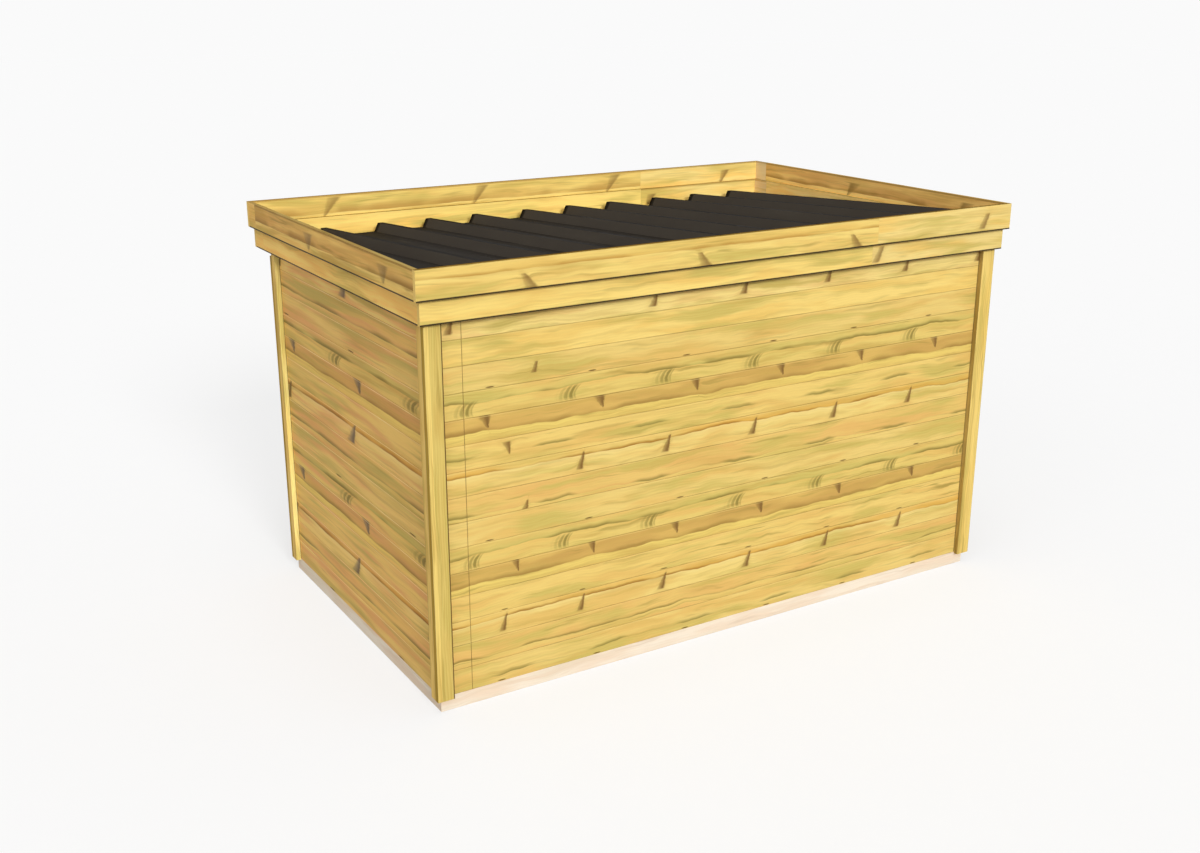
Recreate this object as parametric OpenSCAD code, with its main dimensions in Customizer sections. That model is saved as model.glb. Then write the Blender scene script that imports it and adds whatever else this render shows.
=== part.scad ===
// Garden shed with a low mono-pitch steel roof behind a two-tier timber fascia.
// X runs along the length, Y from the front wall to the back wall, Z up.
// The origin is under the middle of the fascia's outline, on the ground.

/* [Overall] */
// Length of the walls over the boards of the two end walls
body_length = 3148; // [2700:1:3500]
// Depth of the walls over the boards of the front and back walls
body_depth = 1829; // [1650:1:2100]
// Height from the ground to the top edge of the fascia
overall_height = 1977; // [1900:1:2200]
// Fall of the roof from front to back, in degrees
roof_pitch = 4; // [2.5:0.5:5]

/* [Floor] */
// Height of the floor joists
joist_h = 50; // [38:1:75]
// Width of a joist
joist_w = 38; // [30:1:50]
// Number of joists under the floor
joist_count = 10; // [8:1:12]
// Thickness of the boards round the floor's edge
rim_t = 20; // [15:1:28]
// Thickness of the floor boards
deck_t = 18; // [12:1:25]
// Number of floor boards
deck_count = 15; // [12:1:18]
// Gap between floor boards
deck_gap = 1.5; // [0.5:0.5:3]

/* [Wall boards] */
// Visible height of one tongued and grooved board
board_cover = 113.8; // [90:0.1:140]
// Thickness of a wall board
board_t = 12; // [10:0.5:16]
// Open joint between the faces of two boards
joint_gap = 0.8; // [0.4:0.1:2]
// Height of a board's tongue
tongue_h = 6; // [4:0.5:8]
// Thickness of a board's tongue
tongue_t = 4; // [3:0.5:4.5]
// Bevel along a board's outer edges
board_bevel = 1.2; // [0.5:0.1:2.5]
// Width of the narrow make-up panel at the left end of the front wall
makeup_w = 153.4; // [130:0.1:300]

/* [Wall frames] */
// Width of a stud or plate across its narrow face
stud_w = 38; // [28:1:50]
// Depth of a stud into the shed
stud_d = 45; // [38:1:63]
// Number of bays in the long walls beside the make-up panel
long_bays = 4; // [3:1:6]
// Number of bays in the left end wall
end_bays = 2; // [2:1:3]

/* [Corner boards] */
// Thickness of the corner boards
trim_t = 24; // [18:1:30]
// Width of the corner boards on the front and back
corner_w = 80; // [60:1:100]
// Width of the corner strips on the end walls
strip_w = 45; // [30:1:60]
// How far the corner boards reach below the wall boards
trim_drop = 7; // [0:1:20]
// How far the corner boards reach up behind the lower fascia
trim_up = 36; // [20:1:38]

/* [Fascia] */
// Thickness of the fascia boards
fascia_t = 22; // [18:1:28]
// Height of the lower fascia boards
lower_fascia_h = 124; // [110:1:140]
// Height of the upper fascia boards
upper_fascia_h = 129; // [100:1:150]
// Height by which the upper boards overlap the lower ones
fascia_lap = 21; // [10:1:40]
// Length of the second piece of the lower front and back boards, at the right end
lower_long_piece = 880; // [400:1:1200]
// Length of the second piece of the upper front and back boards, at the right end
upper_long_piece = 892; // [400:1:1200]
// Length of the second piece of the lower side boards, at the back end
lower_side_piece = 118; // [80:1:800]
// Length of the second piece of the upper side boards, at the back end
upper_side_piece = 103; // [80:1:800]
// How much further the roof reaches past the back wall than past the front
back_overhang = 132; // [100:1:200]

/* [Roof frame] */
// Number of rafters
rafter_count = 5; // [4:1:7]
// Width of a rafter
rafter_w = 38; // [30:1:50]
// Depth of a rafter
rafter_h = 63; // [50:1:75]
// Rows of cross battens between the rafters
batten_rows = 2; // [1:1:4]
// Width of a cross batten, and of the blocks over the long walls
batten_w = 38; // [30:1:45]
// Depth of a cross batten
batten_h = 45; // [38:1:50]
// Depth that is left of a rafter's tail where it meets the fascia's lower edge
tail_h = 15; // [12:1:20]

/* [Roof sheets] */
// How far the sheets' underside lies below the fascia's top at the front
roof_below_top = 62; // [58:1:80]
// Thickness of the steel sheet
sheet_t = 0.7; // [0.5:0.1:1.2]
// Height of a rib
rib_h = 44; // [25:1:50]
// Width of a rib's flat crest
rib_crest = 28; // [20:1:40]
// Width of a rib's sloping flank
rib_flank = 22; // [10:1:30]
// Distance between the ribs of one sheet
rib_pitch = 280; // [200:1:300]
// Width that one sheet covers
sheet_cover = 877; // [860:1:920]
// Overlap of two neighbouring sheets
sheet_lap = 45; // [20:1:60]
// Gap between the sheets and the fascia at the ends and the front
sheet_gap = 5; // [3:1:15]
// Gap between the sheets and the fascia at the back, where the rain runs off
drip_gap = 63; // [45:1:80]

/* [Doors] */
// Clear width between the door posts
door_open_w = 1200; // [1000:1:1300]
// Width of a door post
post_w = 45; // [42:1:60]
// Height of the rail over the doors
header_h = 38; // [30:1:60]
// How far the doors lap over the posts and the rail
door_lap = 15; // [8:1:20]
// Open gap round the doors and between them
door_gap = 3; // [2:0.5:5]
// Gap between the closed doors and the posts
stop_gap = 0.5; // [0.3:0.1:1.5]
// Gap under the doors
door_lift = 4; // [3:1:12]
// Number of vertical boards in one door
door_boards = 6; // [4:1:7]
// Thickness of the ledges and braces
ledge_t = 25; // [18:1:28]
// Height of a ledge and width of a brace
ledge_w = 95; // [70:1:120]
// Height of the lowest hinge above the door's lower edge, and below its top
hinge_inset = 150; // [100:1:250]
// Height of the threshold
threshold_h = 12; // [8:1:16]

/* [Ironmongery] */
// Length of a hinge strap
strap_len = 300; // [200:1:400]
// Height of a hinge strap at the knuckle
strap_h = 34; // [26:1:44]
// Thickness of the hinge plates
plate_t = 2.5; // [2:0.5:3]
// Radius of a hinge pin
pin_r = 3; // [2.5:0.5:3.5]
// Radius of a hinge knuckle
knuckle_r = 5; // [4.8:0.1:5.5]
// Height of the hinge plate on the wall
fixed_plate_h = 92; // [80:1:120]
// Width of the hinge plate on the wall
fixed_plate_w = 30; // [26:1:40]
// Radius of the sliding rods of the bolts
rod_r = 6; // [5:0.5:7]
// Travel of the bolts
bolt_travel = 25; // [15:1:30]
// Length of the bolts' rods behind their housings
rod_tail = 33; // [33:1:50]
// Length of the pull handle
handle_len = 160; // [120:1:220]
// Distance between the pull handle's bar and the door
handle_reach = 38; // [30:1:45]

/* [Fits] */
// Radial clearance of a pin or rod in its bore
running_fit = 0.05; // [0.02:0.01:0.1]
// Clearance between neighbouring pieces that don't touch
clear = 1; // [0.5:0.1:2]
// Radial clearance of a screw in its hole
screw_fit = 0.15; // [0.05:0.05:0.3]

/* [Hidden] */
$fn = 40;
floor_h = joist_h + deck_t;
hx = body_length / 2;
hy = body_depth / 2;
yc = -back_overhang / 2;
front_y = yc - hy;
back_y = yc + hy;
frame_x = hx - board_t;
frame_front_y = front_y + board_t;
frame_back_y = back_y - board_t;
fascia_x = hx + trim_t;
fascia_front_y = front_y - trim_t;
fascia_back_y = back_y + trim_t + back_overhang;
lower_top = overall_height - upper_fascia_h + fascia_lap;
lower_bottom = lower_top - lower_fascia_h;
sheet_z = overall_height - roof_below_top;
rafter_v = rafter_h / cos(roof_pitch);
// Gap between sloping faces that rest on each other
seat = 0.02;
// Gap at the butt joints of the fascia boards
butt_gap = 0.5;

// Height of the roof frame's upper edge, which carries the sheets, at a given Y
function deck_z(y) = sheet_z - tan(roof_pitch) * (y - fascia_front_y);
// Height of the rafters' lower edge
function rafter_low(y) = deck_z(y) - rafter_v;
// Height of the top of the wall frames, under the rafters
function plate_top(y) = rafter_low(y) - seat;
// Height of the underside of the end walls' top plates
function plate_under(y) = plate_top(y) - stud_w / cos(roof_pitch);
// Distance down the slope of a given Y, from the front fascia
function slope_at(y) = (y - fascia_front_y) / cos(roof_pitch);
// Evenly spaced values from a to b
function spread(a, b, count) = [for (i = [0 : count - 1]) a + (b - a) * i / (count - 1)];

rafter_xs = spread(-frame_x + rafter_w / 2, frame_x - rafter_w / 2, rafter_count);
// Rows of cross pieces under the sheets: the first and last close the eaves over the walls
cross_ys = spread(frame_front_y + batten_w / 2, frame_back_y - batten_w / 2, batten_rows + 2);
trim_top = min(lower_bottom + trim_up, deck_z(back_y) - clear);
tail_z = min(lower_bottom + clear, deck_z(fascia_back_y) - tail_h);
tail_y = back_y + trim_t + clear;

makeup_x = -hx + makeup_w;
seam_stud_x = makeup_x;
bay_xs = spread(seam_stud_x, frame_x - stud_w / 2, long_bays + 1);
front_stud_xs = concat([-frame_x + stud_w / 2], bay_xs);
back_stud_xs = spread(-frame_x + stud_w / 2, frame_x - stud_w / 2, long_bays + 1);
end_y0 = frame_front_y + stud_d;
end_y1 = frame_back_y - stud_d;
left_stud_ys = spread(end_y0 + stud_w / 2, end_y1 - stud_w / 2, end_bays + 1);

// Doors, in a frame whose Y is counted from the middle of the opening
leaf_outer = -door_open_w / 2 - door_lap;
leaf_inner = -door_gap / 2;
leaf_w = leaf_inner - leaf_outer;
door_face_x = hx + stop_gap;
ledge_x = frame_x + stop_gap - ledge_t;
head_z = plate_under(yc + door_open_w / 2 + post_w) - header_h;
door_z0 = floor_h + door_lift;
door_z1 = head_z + door_lap;
hinge_zs = spread(door_z0 + hinge_inset, door_z1 - hinge_inset, 3);
knuckle_gap = 0.4;
axis_x = door_face_x + knuckle_r + knuckle_gap;
axis_y = leaf_outer - door_gap / 2;
ledge_y0 = -door_open_w / 2 + stud_w / 3;
ledge_y1 = leaf_inner - stud_w / 2;
tower_y = leaf_inner - 60;
rod_offset = plate_t + rod_r + 2;
tower_x = ledge_x - rod_offset;
// Distance of a bolt's end at rest from the edge that it passes
rest_gap = 4;
pad_x = door_face_x + rod_offset;
pad_z = floor_h + (head_z - floor_h) * 0.62;

// Screws: head radius, head height, shank radius and length under the head
wood_screw = [4.2, 1.8, 2, 30];
roof_screw = [5.5, 5, 2.4, 22];
washer_r = 9;
washer_t = 1.5;
// Distance of a roof screw from the foot of the rib beside it
screw_side = 25;

// Shape helpers

// Extrudes an outline drawn in Y and Z along X
module along_x(x0, x1) {
    translate([x0, 0, 0]) rotate([90, 0, 90]) linear_extrude(x1 - x0) children();
}

// Extrudes an outline drawn in X and Z along Y
module along_y(y0, y1) {
    translate([0, y1, 0]) rotate([90, 0, 0]) linear_extrude(y1 - y0) children();
}

// A box between two corners
module block(a, b) {
    translate(a) cube(b - a);
}

// Places things on the slope of the roof: Y down the slope, Z square to the sheets
module on_roof() {
    translate([0, fascia_front_y, sheet_z + seat]) rotate([-roof_pitch, 0, 0]) children();
}

// Places a door's pieces; side -1 is the front door and 1 the back one
module on_leaf(side) {
    translate([0, yc, 0]) mirror([0, side > 0 ? 1 : 0, 0]) children();
}

// Outline of a tongued and grooved board: X is its thickness from the face, Y its cover
module board_outline(cover, groove = true, tongue = true) {
    face = cover - joint_gap;
    slot_h = tongue_h + clear / 2;
    slot_t = tongue_t + clear / 2;
    mid = board_t / 2;
    lower = groove ? [[mid - slot_t / 2, 0], [mid - slot_t / 2, slot_h],
                      [mid + slot_t / 2, slot_h], [mid + slot_t / 2, 0]] : [];
    upper = tongue ? [[mid + tongue_t / 2, face], [mid + tongue_t / 2, face + tongue_h],
                      [mid - tongue_t / 2, face + tongue_h], [mid - tongue_t / 2, face]] : [];
    polygon(concat([[0, board_bevel], [board_bevel, 0]], lower, [[board_t, 0], [board_t, face]],
                   upper, [[board_bevel, face], [0, face - board_bevel]]));
}

function board_rows(top) = ceil((top - floor_h) / board_cover);

// Boards of a long wall, stacked up to a level top
module long_wall_boards(x0, x1, top, back = false) {
    rows = board_rows(top);
    for (i = [0 : rows - 1]) {
        z = floor_h + i * board_cover;
        last = i == rows - 1;
        translate([0, back ? back_y : front_y, z]) mirror([0, back ? 1 : 0, 0])
            along_x(x0, x1)
                if (last) board_outline(top - z + joint_gap, tongue = false);
                else board_outline(board_cover);
    }
}

// Boards of an end wall, cut along the slope of the roof
module end_wall_boards(right = false) {
    top_z = deck_z(frame_front_y);
    rows = board_rows(top_z);
    cut = [[frame_front_y - clear, floor_h - clear], [frame_back_y + clear, floor_h - clear],
           [frame_back_y + clear, deck_z(frame_back_y + clear) - clear],
           [frame_front_y - clear, deck_z(frame_front_y - clear) - clear]];
    sloped_from = deck_z(frame_back_y) - clear - 2 * board_cover;
    mirror([right ? 1 : 0, 0, 0])
        for (i = [0 : rows - 1]) {
            z = floor_h + i * board_cover;
            if (z < sloped_from) end_wall_board(z);
            else intersection() {
                end_wall_board(z);
                along_x(-hx - clear, -frame_x + clear) polygon(cut);
            }
        }
}

module end_wall_board(z) {
    translate([-hx, 0, z]) along_y(frame_front_y, frame_back_y) board_outline(board_cover);
}

// Boxes cut out of the right end wall for the doors
module door_cut_out() {
    half = door_open_w / 2 + door_lap + door_gap;
    block([frame_x - clear, yc - half, floor_h - clear],
          [hx + clear, yc + half, door_z1 + door_gap]);
}

// Head, washer and shank of a screw along -Z, with its seat at the origin
module screw(s, r = 0) {
    rotate_extrude() polygon([[0, 0], [s[0], 0], [s[0], s[1] / 2], [s[0] * 0.6, s[1]], [0, s[1]]]);
    translate([0, 0, -s[3]]) cylinder(r = s[2], h = s[3]);
}

// Hole for a screw's shank
module screw_hole(s, depth) {
    translate([0, 0, -depth]) cylinder(r = s[2] + screw_fit, h = depth + clear);
}

// Floor

module floor_joists() {
    xs = spread(-hx + rim_t + joist_w / 2, hx - rim_t - joist_w / 2, joist_count);
    color("burlywood")
        for (x = xs)
            block([x - joist_w / 2, front_y + rim_t, 0], [x + joist_w / 2, back_y - rim_t, joist_h]);
}

module floor_rim() {
    color("blanchedalmond") {
        block([-hx, front_y, 0], [hx, front_y + rim_t, floor_h]);
        block([-hx, back_y - rim_t, 0], [hx, back_y, floor_h]);
        block([-hx, front_y + rim_t, 0], [-hx + rim_t, back_y - rim_t, floor_h]);
        block([hx - rim_t, front_y + rim_t, 0], [hx, back_y - rim_t, floor_h]);
    }
}

module floor_boards() {
    y0 = front_y + rim_t;
    pitch = (body_depth - 2 * rim_t + deck_gap) / deck_count;
    color("wheat")
        difference() {
            for (i = [0 : deck_count - 1])
                block([-hx + rim_t, y0 + i * pitch, joist_h],
                      [hx - rim_t, y0 + (i + 1) * pitch - deck_gap, floor_h]);
            tower_rod_hole(joist_h - clear, floor_h + clear);
        }
}

module threshold() {
    color("peru")
        difference() {
            block([frame_x - stud_d, yc - door_open_w / 2, floor_h],
                  [frame_x, yc + door_open_w / 2, floor_h + threshold_h]);
            tower_rod_hole(floor_h - clear, floor_h + threshold_h + clear);
        }
}

// Hole that a tower bolt's rod drops or rises into
module tower_rod_hole(z0, z1) {
    on_leaf(1) translate([tower_x, tower_y, z0]) cylinder(r = rod_r + clear, h = z1 - z0);
}

// Wall frames

module long_wall_frame(xs, back = false) {
    y0 = back ? frame_back_y - stud_d : frame_front_y;
    y1 = y0 + stud_d;
    plate_low = plate_top(y1) - stud_w;
    block([-frame_x, y0, floor_h], [frame_x, y1, floor_h + stud_w]);
    along_x(-frame_x, frame_x)
        polygon([[y0, plate_low], [y1, plate_low], [y1, plate_top(y1)], [y0, plate_top(y0)]]);
    for (x = xs)
        block([x - stud_w / 2, y0, floor_h], [x + stud_w / 2, y1, plate_low + stud_w / 2]);
}

module front_wall_frame() {
    color("tan") long_wall_frame(front_stud_xs);
}

module back_wall_frame() {
    color("tan") long_wall_frame(back_stud_xs, back = true);
}

// Sloping top plate of an end wall, from x0 to x1
module end_top_plate(x0, x1) {
    along_x(x0, x1)
        polygon([[end_y0, plate_under(end_y0)], [end_y1, plate_under(end_y1)],
                 [end_y1, plate_top(end_y1)], [end_y0, plate_top(end_y0)]]);
}

// Upright of an end wall between y0 and y1; it ends inside the top plate or under it
module end_stud(x0, x1, y0, y1, into_plate = true) {
    up = into_plate ? stud_w / 2 : 0;
    along_x(x0, x1)
        polygon([[y0, floor_h], [y1, floor_h], [y1, plate_under(y1) + up],
                 [y0, plate_under(y0) + up]]);
}

module left_wall_frame() {
    color("tan") {
        x0 = -frame_x;
        x1 = -frame_x + stud_d;
        block([x0, end_y0, floor_h], [x1, end_y1, floor_h + stud_w]);
        end_top_plate(x0, x1);
        for (y = left_stud_ys)
            end_stud(x0, x1, y - stud_w / 2, y + stud_w / 2);
    }
}

module right_wall_frame() {
    color("tan") {
        x0 = frame_x - stud_d;
        x1 = frame_x;
        post_out = door_open_w / 2 + post_w;
        end_top_plate(x0, x1);
        block([x0, end_y0, floor_h], [x1, yc - post_out, floor_h + stud_w]);
        block([x0, yc + post_out, floor_h], [x1, end_y1, floor_h + stud_w]);
        end_stud(x0, x1, end_y0, end_y0 + stud_w);
        end_stud(x0, x1, end_y1 - stud_w, end_y1);
    }
}

module door_posts() {
    x0 = frame_x - stud_d;
    x1 = frame_x;
    half = door_open_w / 2;
    color("peru")
        difference() {
            union() {
                for (s = [-1, 1]) {
                    inner = yc + s * half;
                    outer = yc + s * (half + post_w);
                    end_stud(x0, x1, min(inner, outer), max(inner, outer), into_plate = false);
                }
                block([x0, yc - half, head_z], [x1, yc + half, head_z + header_h]);
            }
            tower_rod_hole(head_z - clear, head_z + header_h - 4);
            wall_screw_holes(wood_screw[3] - plate_t + clear);
        }
}

// Wall boards

module front_wall_boards() {
    color("khaki")
        long_wall_boards(makeup_x + clear / 2, hx, rafter_low(frame_front_y) - clear);
}

module front_makeup_boards() {
    color("khaki")
        long_wall_boards(-hx, makeup_x - clear / 2, rafter_low(frame_front_y) - clear);
}

module back_wall_boards() {
    color("khaki") long_wall_boards(-hx, hx, rafter_low(back_y) - clear, back = true);
}

module left_wall_boards() {
    color("goldenrod") end_wall_boards();
}

module right_wall_boards() {
    color("goldenrod")
        difference() {
            end_wall_boards(right = true);
            door_cut_out();
            wall_screw_holes(board_t + clear);
        }
}

// Corner boards

module corner_board(side, back = false) {
    x0 = side < 0 ? -fascia_x : fascia_x - corner_w;
    y0 = back ? back_y : front_y - trim_t;
    top = back ? rafter_low(back_y + trim_t) - clear : trim_top;
    block([x0, y0, floor_h - trim_drop], [x0 + corner_w, y0 + trim_t, top]);
}

module corner_strip(side, back = false) {
    x0 = side < 0 ? -fascia_x : hx;
    y0 = back ? back_y - strip_w : front_y;
    block([x0, y0, floor_h - trim_drop], [x0 + trim_t, y0 + strip_w, trim_top]);
}

module front_left_corner_board() { color("khaki") corner_board(-1); }
module front_right_corner_board() { color("khaki") corner_board(1); }
module back_left_corner_board() { color("khaki") corner_board(-1, back = true); }
module back_right_corner_board() { color("khaki") corner_board(1, back = true); }
module left_front_corner_strip() { color("khaki") corner_strip(-1); }
module left_back_corner_strip() { color("khaki") corner_strip(-1, back = true); }
module right_front_corner_strip() { color("khaki") corner_strip(1); }
module right_back_corner_strip() { color("khaki") corner_strip(1, back = true); }

// Roof frame

// The tails are cut level behind the back wall, so that the lower fascia hides them
module rafters() {
    color("burlywood")
        difference() {
            for (x = rafter_xs)
                along_x(x - rafter_w / 2, x + rafter_w / 2)
                    polygon([[fascia_front_y, rafter_low(fascia_front_y)],
                             [tail_y, rafter_low(tail_y)], [tail_y, tail_z],
                             [fascia_back_y, tail_z], [fascia_back_y, deck_z(fascia_back_y)],
                             [fascia_front_y, deck_z(fascia_front_y)]]);
            roof_screw_places() screw_hole(roof_screw, roof_screw[3]);
        }
}

// Cross pieces between the rafters, one row for each Y in the list
module cross_pieces(ys, h) {
    v = h / cos(roof_pitch);
    difference() {
        for (y = ys)
            for (i = [0 : rafter_count - 2])
                along_x(rafter_xs[i] + rafter_w / 2, rafter_xs[i + 1] - rafter_w / 2)
                    polygon([[y - batten_w / 2, deck_z(y - batten_w / 2) - v],
                             [y + batten_w / 2, deck_z(y + batten_w / 2) - v],
                             [y + batten_w / 2, deck_z(y + batten_w / 2)],
                             [y - batten_w / 2, deck_z(y - batten_w / 2)]]);
        roof_screw_places() screw_hole(roof_screw, roof_screw[3]);
    }
}

module eaves_blocks() {
    color("burlywood") cross_pieces([cross_ys[0], cross_ys[batten_rows + 1]], rafter_h);
}

module roof_battens() {
    color("burlywood") cross_pieces([for (i = [1 : batten_rows]) cross_ys[i]], batten_h);
}

// Roof sheets

ribs_per_sheet = 3;
sheets = 4;
sheet_x0 = -fascia_x + sheet_gap;
sheet_x1 = fascia_x - sheet_gap;
// The first sheet is cut lengthwise just before its second rib
first_rib_x = sheet_x0 + rib_flank - rib_pitch;
function sheet_start(s) = first_rib_x + s * sheet_cover;
function rib_foot() = rib_crest + rib_flank;
function last_sheet_ribs() =
    floor((sheet_x1 - sheet_start(sheets - 1) - rib_foot() - sheet_gap) / rib_pitch) + 1;
function rib_xs(s) =
    [for (k = [s == 0 ? 1 : 0 : s == sheets - 1 ? last_sheet_ribs() - 1 : ribs_per_sheet - 1])
        sheet_start(s) + k * rib_pitch];

// Underside of a sheet as a line of points; a lapped edge lies on its neighbour
function sheet_line(s) =
    let (xs = rib_xs(s), lift = s == 0 ? 0 : sheet_t)
    concat(
        s == 0 ? [] : [[xs[0] - rib_flank - sheet_lap, lift]],
        [for (i = [0 : len(xs) - 1])
            each [[xs[i] - rib_flank, i == 0 ? lift : 0], [xs[i], rib_h],
                  [xs[i] + rib_crest, rib_h], [xs[i] + rib_foot(), 0]]],
        [[s == sheets - 1 ? sheet_x1 : sheet_start(s + 1) - rib_flank - sheet_gap, 0]]);

function side_of(a, b) = let (d = (b - a) / norm(b - a)) [-d.y, d.x];
// The same line moved sideways by t, with mitred corners
function moved(line, t) =
    [for (i = [0 : len(line) - 1])
        let (n0 = i > 0 ? side_of(line[i - 1], line[i]) : side_of(line[0], line[1]),
             n1 = i < len(line) - 1 ? side_of(line[i], line[i + 1]) : n0)
        line[i] + t * (n0 + n1) / (1 + n0 * n1)];
function reversed(v) = [for (i = [len(v) - 1 : -1 : 0]) v[i]];

module roof_sheet(s) {
    line = sheet_line(s);
    d0 = sheet_gap;
    d1 = slope_at(fascia_back_y - drip_gap);
    color([0.24, 0.22, 0.2])
        difference() {
            on_roof() along_y(d0, d1) polygon(concat(line, reversed(moved(line, sheet_t))));
            roof_screw_places([s]) screw_hole(roof_screw, 3 * clear);
        }
}

// Screws stand in the pan beside each rib, over every row of cross pieces
module roof_screw_places(which = [0 : sheets - 1]) {
    for (s = which)
        for (x = rib_xs(s))
            for (y = cross_ys)
                on_roof() translate([x + rib_foot() + screw_side, slope_at(y), sheet_t])
                    children();
}

module roof_sheet_1() { roof_sheet(0); }
module roof_sheet_2() { roof_sheet(1); }
module roof_sheet_3() { roof_sheet(2); }
module roof_sheet_4() { roof_sheet(3); }

module roof_screws() {
    color([0.2, 0.18, 0.17])
        roof_screw_places() {
            cylinder(r = washer_r, h = washer_t);
            translate([0, 0, washer_t]) cylinder(r = roof_screw[0], h = roof_screw[1], $fn = 6);
            translate([0, 0, clear - roof_screw[3]]) cylinder(r = roof_screw[2], h = roof_screw[3]);
        }
}

// Fascia

// Battens behind the lower fascia, between the corner boards
module fascia_battens() {
    z0 = lower_bottom + clear;
    long_x = fascia_x - corner_w;
    color("burlywood") {
        block([-long_x, front_y - trim_t, z0], [long_x, front_y, trim_top]);
        for (x = [-fascia_x, hx])
            block([x, front_y + strip_w, z0], [x + trim_t, back_y - strip_w, trim_top]);
    }
}

// One pair of a tier's boards: the long ones cover the ends of the short ones.
// Each board is made up of two lengths, butted at the tier's joint.
module long_fascia(step, z0, z1, back = false) {
    x = fascia_x + (step + 1) * fascia_t;
    y0 = back ? fascia_back_y + step * fascia_t : fascia_front_y - (step + 1) * fascia_t;
    joint = x - (step == 0 ? lower_long_piece : upper_long_piece);
    block([-x, y0, z0], [joint - butt_gap / 2, y0 + fascia_t, z1]);
    block([joint + butt_gap / 2, y0, z0], [x, y0 + fascia_t, z1]);
}

module end_fascia(step, z0, z1, right = false) {
    x0 = right ? fascia_x + step * fascia_t : -fascia_x - (step + 1) * fascia_t;
    y0 = fascia_front_y - step * fascia_t;
    y1 = fascia_back_y + step * fascia_t;
    joint = y1 - (step == 0 ? lower_side_piece : upper_side_piece);
    block([x0, y0, z0], [x0 + fascia_t, joint - butt_gap / 2, z1]);
    block([x0, joint + butt_gap / 2, z0], [x0 + fascia_t, y1, z1]);
}

upper_bottom = overall_height - upper_fascia_h;
module lower_fascia_front() { color("palegoldenrod") long_fascia(0, lower_bottom, lower_top); }
module lower_fascia_back() {
    color("palegoldenrod") long_fascia(0, lower_bottom, lower_top, back = true);
}
module lower_fascia_left() { color("palegoldenrod") end_fascia(0, lower_bottom, lower_top); }
module lower_fascia_right() {
    color("palegoldenrod") end_fascia(0, lower_bottom, lower_top, right = true);
}
module upper_fascia_front() {
    color("palegoldenrod") long_fascia(1, upper_bottom, overall_height);
}
module upper_fascia_back() {
    color("palegoldenrod") long_fascia(1, upper_bottom, overall_height, back = true);
}
module upper_fascia_left() { color("palegoldenrod") end_fascia(1, upper_bottom, overall_height); }
module upper_fascia_right() {
    color("palegoldenrod") end_fascia(1, upper_bottom, overall_height, right = true);
}

// Doors

module door_leaf_boards(side) {
    cover = leaf_w / door_boards;
    color("khaki")
        difference() {
            on_leaf(side)
                for (i = [0 : door_boards - 1]) {
                    last = i == door_boards - 1;
                    width = last ? cover + joint_gap : cover;
                    translate([door_face_x, leaf_outer + i * cover, door_z0])
                        mirror([1, 0, 0]) linear_extrude(door_z1 - door_z0)
                            board_outline(width, groove = i > 0, tongue = !last);
                }
            strap_screw_holes(side, board_t + clear);
        }
}

module door_leaf_ledges(side) {
    color("burlywood")
        difference() {
            on_leaf(side)
                for (z = hinge_zs)
                    block([ledge_x, ledge_y0, z - ledge_w / 2],
                          [ledge_x + ledge_t, ledge_y1, z + ledge_w / 2]);
            strap_screw_holes(side, wood_screw[3] - plate_t + clear);
        }
}

// Two braces rise from the hinge side between the ledges
module door_leaf_braces(side) {
    foot = ledge_w * 1.1;
    color("burlywood")
        on_leaf(side)
            for (i = [0, 1]) {
                z0 = hinge_zs[i] + ledge_w / 2;
                z1 = hinge_zs[i + 1] - ledge_w / 2;
                along_x(ledge_x, ledge_x + ledge_t)
                    polygon([[ledge_y0 + clear, z0], [ledge_y0 + clear + foot, z0],
                             [ledge_y1 - clear, z1], [ledge_y1 - clear - foot, z1]]);
            }
}

module front_door_boards() { door_leaf_boards(-1); }
module back_door_boards() { door_leaf_boards(1); }
module front_door_ledges() { door_leaf_ledges(-1); }
module back_door_ledges() { door_leaf_ledges(1); }
module front_door_braces() { door_leaf_braces(-1); }
module back_door_braces() { door_leaf_braces(1); }

// Hinges

knuckle_clear = 0.3;
strap_screw_ys = [for (f = [0.2, 0.5, 0.8]) strap_len * f];
wall_screw_zs = [-fixed_plate_h / 2 + 10, -fixed_plate_h / 2 + 30,
                 fixed_plate_h / 2 - 30, fixed_plate_h / 2 - 10];
wall_screw_y = fixed_plate_w - 10;

// A knuckle's barrel with its bore, from z0 to z1
module knuckle(z0, z1) {
    difference() {
        union() {
            translate([0, 0, z0]) cylinder(r = knuckle_r, h = z1 - z0);
            children();
        }
        translate([0, 0, z0 - clear])
            cylinder(r = pin_r + running_fit, h = z1 - z0 + 2 * clear);
    }
}

// Tee strap on the door: it narrows from the knuckle to its round tip
module strap() {
    tip_r = strap_h * 0.3;
    face = door_face_x - axis_x;
    difference() {
        knuckle(-strap_h / 2, strap_h / 2)
            along_x(face, face + plate_t)
                polygon([[0, -strap_h / 2], [strap_h, -strap_h / 2],
                         [strap_len - tip_r, -tip_r], [strap_len - tip_r, tip_r],
                         [strap_h, strap_h / 2], [0, strap_h / 2]]);
        for (y = strap_screw_ys)
            translate([face, y, 0]) rotate([0, 90, 0])
                translate([0, 0, -clear])
                    cylinder(r = wood_screw[2] + screw_fit, h = 2 * clear + plate_t);
    }
    translate([face, strap_len - tip_r, 0]) rotate([0, 90, 0]) cylinder(r = tip_r, h = plate_t);
}

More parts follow.
